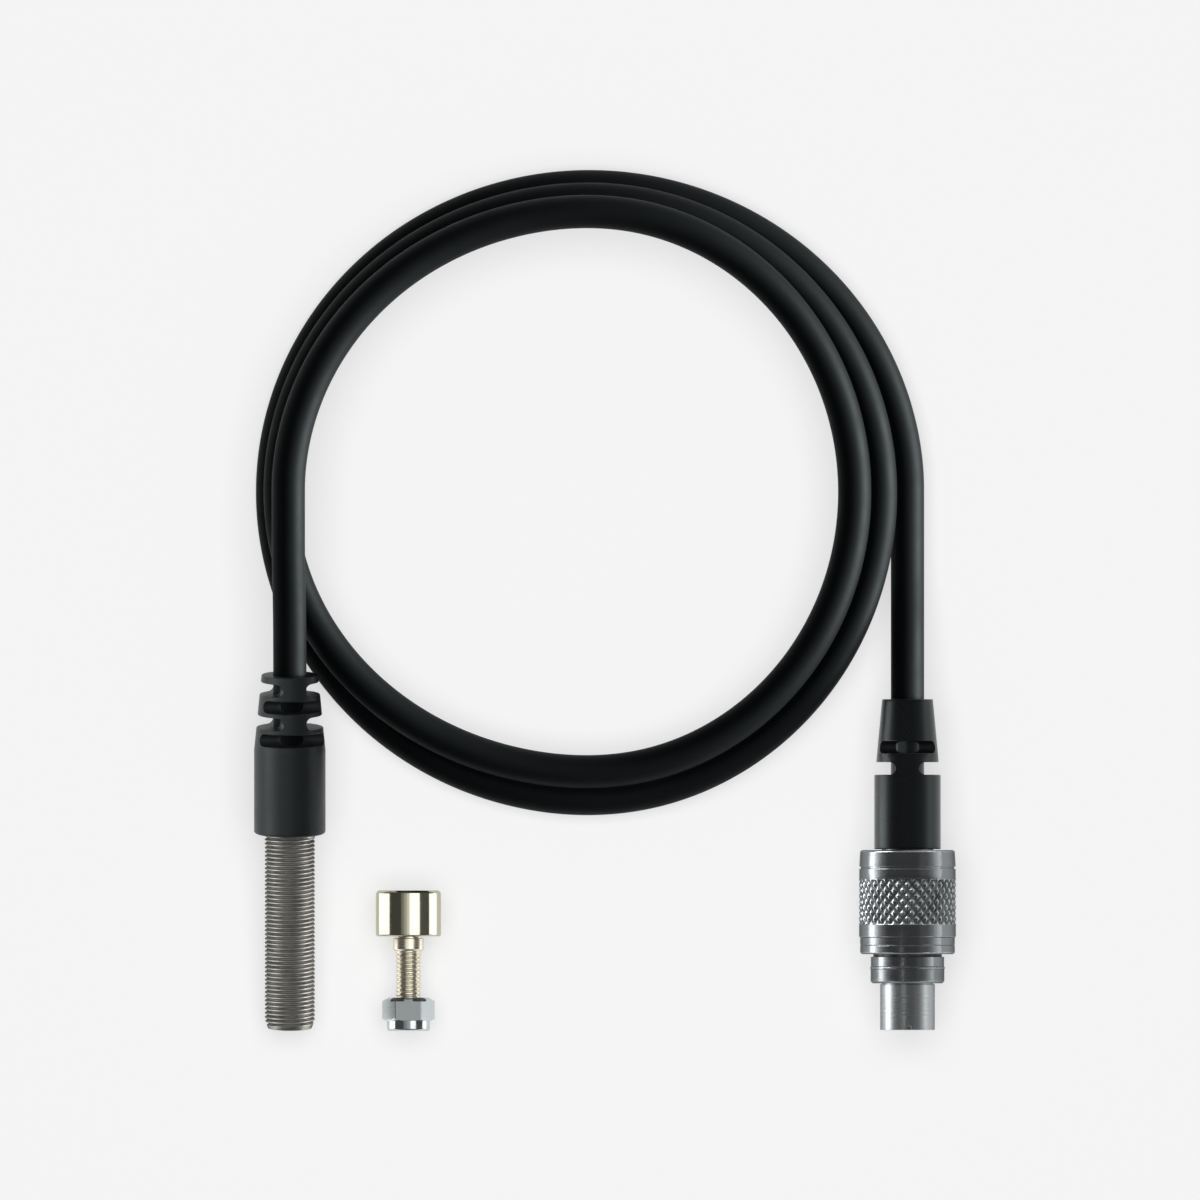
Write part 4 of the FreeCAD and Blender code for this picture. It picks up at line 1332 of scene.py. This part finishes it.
@dataclass(frozen=True)
class Arch:
    """Soft boxes side by side on an arch that lies across some pieces, as panels of a light tent.

    Each box takes up a band of the arch, between two angles seen from its middle: 0 is level on the
    right, 90 straight above and 180 level on the left.

    Attributes:
        name: What the boxes' names start with.
        middle: The arch's middle, in metres.
        distance: How far its boxes stand from there, in metres.
        span: How long they are along Y, in metres.
        bands: First angle, last angle and brightness of each box. A brightness of 1 looks white.
        only: The pieces that they light, or none for all.
        mirrored: Whether they show in reflections.
    """

    name: str
    middle: Point
    distance: float
    span: float
    bands: tuple[tuple[float, float, float], ...]
    only: tuple[str, ...] = ()
    mirrored: bool = True

    def build(self) -> None:
        """Makes the boxes. A box's power is its brightness times pi times its area."""
        lit = None
        if self.only:
            lit = bpy.data.collections.new(self.name + "_lit")
            for name in self.only:
                lit.objects.link(bpy.data.objects[name])
        for index, (first, last, brightness) in enumerate(self.bands):
            light = bpy.data.lights.new(f"{self.name}_{index}", "AREA")
            light.shape = "RECTANGLE"
            light.size = 2 * self.distance * math.tan(math.radians(last - first) / 2)
            light.size_y = self.span
            light.energy = brightness * math.pi * light.size * light.size_y
            lamp = bpy.data.objects.new(light.name, light)
            bpy.context.scene.collection.objects.link(lamp)
            angle = math.radians(first + last) / 2
            outward = Vector((math.cos(angle), 0.0, math.sin(angle)))
            lamp.location = Vector(self.middle) + self.distance * outward
            lamp.rotation_euler = (0.0, math.pi / 2 - angle, 0.0)
            lamp.visible_camera = False
            lamp.visible_glossy = self.mirrored
            lamp.light_linking.receiver_collection = lit


@dataclass
class Studio:
    """The camera straight above, the pale floor, the world and the soft lights.

    Attributes:
        middle: Where the camera looks, in metres.
        camera_height: How high it stands, in metres.
        view_width: Width of its view, in metres.
        floor_reach: How far the floor goes from the middle of the scene, in metres.
        floor_colour: Colour of the floor, and of the world where the camera sees it.
        seen_glow: How much of the floor's brightness is its own where the camera sees it.
        mirrored_glow: How much of it is its own in reflections.
        horizon_level: The world's brightness at the horizon.
        overhead_level: Its brightness from overhead_from upwards.
        overhead_from: The upward part of a direction, up to 1, at which it is down to that.
        lights: The lamps.
    """

    middle: Point = (0.0303, 0.0301, 0.0)
    camera_height: float = 0.5
    view_width: float = 0.144
    floor_reach: float = 3.0
    floor_colour: Colour = (0.913, 0.913, 0.913)
    seen_glow: float = 0.65
    mirrored_glow: float = 0.3
    horizon_level: float = 0.6
    overhead_level: float = 0.075
    overhead_from: float = 0.22
    lights: tuple[Arch, ...] = (
        Arch("top", (0.03, 0.03, 0.0), 0.9, 0.9, ((63.4, 116.6, 3.85),), mirrored=False),
        Arch("lead_side", (0.03, 0.04, 0.008), 1.5, 1.3, ((-2.0, 20.0, 54.0),), only=("lead_cable",)),
        Arch("boot_tent", (-0.0069, 0.012, 0.008), 0.5, 0.5, ((0.0, 20.0, 0.5), (85.0, 130.0, 0.45),
             (130.0, 150.0, 1.0), (150.0, 176.0, 2.2)), only=PICKUP_BOOT),
        Arch("barrel_tent", (-0.0069, -0.01, 0.006), 0.5, 0.6, ((0.0, 20.0, 2.9), (20.0, 50.0, 0.8),
             (50.0, 85.0, 0.2), (85.0, 130.0, 0.5), (130.0, 150.0, 1.2), (150.0, 178.0, 2.2)),
             only=BARREL),
        Arch("barrel_card", (-0.0069, -0.012, 0.006), 0.0085, 0.024, ((-30.0, 8.0, 1.2),), only=BARREL),
        Arch("plug_tent", (0.0672, -0.005, 0.0082), 0.5, 0.3, ((0.0, 14.0, 1.3), (14.0, 24.0, 0.85),
             (24.0, 36.0, 0.36), (36.0, 60.0, 0.14), (60.0, 145.0, 0.04), (145.0, 156.0, 0.22),
             (156.0, 166.0, 0.6), (166.0, 173.0, 1.9)), only=PLUG_METAL),
        Arch("plug_boot_tent", (0.0672, 0.009, 0.0058), 0.5, 0.3, ((0.0, 14.0, 1.1), (14.0, 24.0, 0.65),
             (24.0, 36.0, 0.28), (36.0, 60.0, 0.12), (145.0, 156.0, 0.15), (156.0, 166.0, 0.42),
             (166.0, 173.0, 1.3)), only=PLUG_BOOT),
        Arch("plug_card", (0.0672, 0.0065, 0.0082), 0.034, 0.067, ((173.0, 190.0, 4.2),), only=PLUG_METAL),
        Arch("plug_boot_card", (0.0672, 0.0092, 0.0058), 0.0085, 0.02, ((155.4, 180.0, 1.9),),
             only=PLUG_BOOT),
        Arch("plug_strip", (0.0672, -0.017, 0.0082), 0.04, 0.0085, ((104.0, 106.5, 2.0),),
             only=PLUG_METAL),
        Arch("spigot_top", (0.0672, -0.0185, 0.0058), 0.1, 0.02, ((50.0, 102.0, 0.06), (102.0, 110.0, 0.6),
             (110.0, 140.0, 0.1)), only=("plug_tube",)),
        Arch("knurl_north", (0.0672, 0.24, 0.0082), 0.2, 0.3, ((0.0, 30.0, 1.3), (30.0, 60.0, 0.6),
             (60.0, 110.0, 0.5), (110.0, 150.0, 0.6), (150.0, 180.0, 9.0)), only=("knurled_ring",)),
        Arch("knurl_south", (0.0672, -0.25, 0.0082), 0.2, 0.3, ((0.0, 40.0, 0.6), (140.0, 180.0, 0.5)),
             only=("knurled_ring",)),
        Arch("web_light", (0.0672, 0.012, 0.0058), 0.2, 0.05, ((98.0, 150.0, 0.9),),
             only=("cable_tail_plug",)),
        Arch("pot_tent", (0.0073, -0.0075, 0.0039), 0.3, 0.25, ((20.0, 50.0, 0.03), (50.0, 85.0, 2.2),
             (85.0, 95.0, 0.85), (95.0, 105.0, 0.45), (105.0, 115.0, 0.2)), only=POT),
        Arch("pot_left_card", (0.0073, -0.0075, 0.0039), 0.0104, 0.0066, ((150.0, 199.0, 2.1),), only=POT),
        Arch("pot_right_card", (0.0073, -0.0075, 0.0039), 0.014, 0.0066, ((-14.8, 19.6, 2.1),), only=POT),
        Arch("stud_tent", (0.0073, -0.0165, 0.0039), 0.3, 0.25, ((50.0, 85.0, 1.45), (85.0, 112.0, 0.85)),
             only=STUD),
        Arch("stud_left_card", (0.0073, -0.0165, 0.0039), 0.0104, 0.0114, ((174.0, 199.0, 1.35),),
             only=STUD),
        Arch("stud_right_card", (0.0073, -0.0165, 0.0039), 0.014, 0.0114, ((-14.8, -3.0, 1.35),),
             only=STUD),
        Arch("nut_tent", (0.0073, -0.0195, 0.0039), 0.3, 0.25, ((50.0, 80.0, 1.4), (80.0, 96.0, 0.36),
             (96.0, 115.0, 0.2)), only=NUT),
        Arch("nut_left_card", (0.0073, -0.0211, 0.0039), 0.0104, 0.0014, ((161.0, 199.0, 1.9),), only=NUT),
        Arch("nut_right_card", (0.0073, -0.0211, 0.0039), 0.014, 0.0014, ((-14.8, 12.0, 1.9),), only=NUT),
    )

    def camera(self) -> None:
        """Puts a camera straight above, without perspective."""
        data = bpy.data.cameras.new("camera")
        data.type = "ORTHO"
        data.ortho_scale = self.view_width
        camera = bpy.data.objects.new("camera", data)
        bpy.context.scene.collection.objects.link(camera)
        camera.location = (self.middle[0], self.middle[1], self.camera_height)
        bpy.context.scene.camera = camera

    def floor(self) -> None:
        """Makes the floor: pale to the eye and in reflections, and shaded where the object stands."""
        half = self.floor_reach
        mesh = bpy.data.meshes.new("floor")
        corners = [(-half, -half, 0), (half, -half, 0), (half, half, 0), (-half, half, 0)]
        mesh.from_pydata(corners, [], [(0, 1, 2, 3)])
        floor = bpy.data.objects.new("floor", mesh)
        bpy.context.scene.collection.objects.link(floor)
        material = bpy.data.materials.new("floor")
        material.use_nodes = True
        material.node_tree.nodes.clear()
        graph = Graph(material.node_tree)
        paper = graph.add("BsdfDiffuse", {"Color": self.floor_colour})
        glow = graph.add("Emission", {"Color": self.floor_colour, "Strength": 1.0})
        path = graph.add("LightPath").outputs
        mirrored = graph.sum("MAXIMUM", path["Is Glossy Ray"], path["Is Transmission Ray"])
        share = graph.sum("ADD", graph.sum("MULTIPLY", path["Is Camera Ray"], self.seen_glow),
                          graph.sum("MULTIPLY", mirrored, self.mirrored_glow))
        both = graph.add("MixShader", {0: share, 1: paper.outputs[0], 2: glow.outputs[0]})
        graph.add("OutputMaterial", {"Surface": both.outputs[0]})
        mesh.materials.append(material)

    def world(self) -> None:
        """Makes the world: pale low down and dim overhead, and pale wherever the camera sees it."""
        world = bpy.data.worlds.new("studio")
        bpy.context.scene.world = world
        world.use_nodes = True
        world.node_tree.nodes.clear()
        graph = Graph(world.node_tree)
        direction = graph.add("SeparateXYZ", {0: graph.add("TexCoord").outputs["Generated"]})
        level = graph.remap(direction.outputs["Z"], 0.0, self.overhead_from, self.horizon_level,
                            self.overhead_level)
        light = graph.add("Background", {"Color": (1.0, 1.0, 1.0), "Strength": level})
        plain = graph.add("Background", {"Color": self.floor_colour, "Strength": 1.0})
        seen = graph.add("LightPath").outputs["Is Camera Ray"]
        both = graph.add("MixShader", {0: seen, 1: light.outputs[0], 2: plain.outputs[0]})
        graph.add("OutputWorld", {"Surface": both.outputs[0]})

    def build(self) -> None:
        """Makes the camera, floor, world and lights."""
        self.camera()
        self.floor()
        self.world()
        for light in self.lights:
            light.build()
        bpy.context.scene.view_settings.view_transform = "Standard"


def main() -> None:
    """Builds every sub-assembly in order."""
    logging.basicConfig(level=logging.INFO, format="%(name)s: %(message)s")
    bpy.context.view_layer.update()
    finishes = Finishes()
    finishes.dress_nodes()
    PickupHead(finishes).build()
    RoundPlug(finishes).build()
    TargetMagnet(finishes).build()
    CoiledLead(finishes).build()
    Studio().build()


if __name__ == "__main__":
    main()
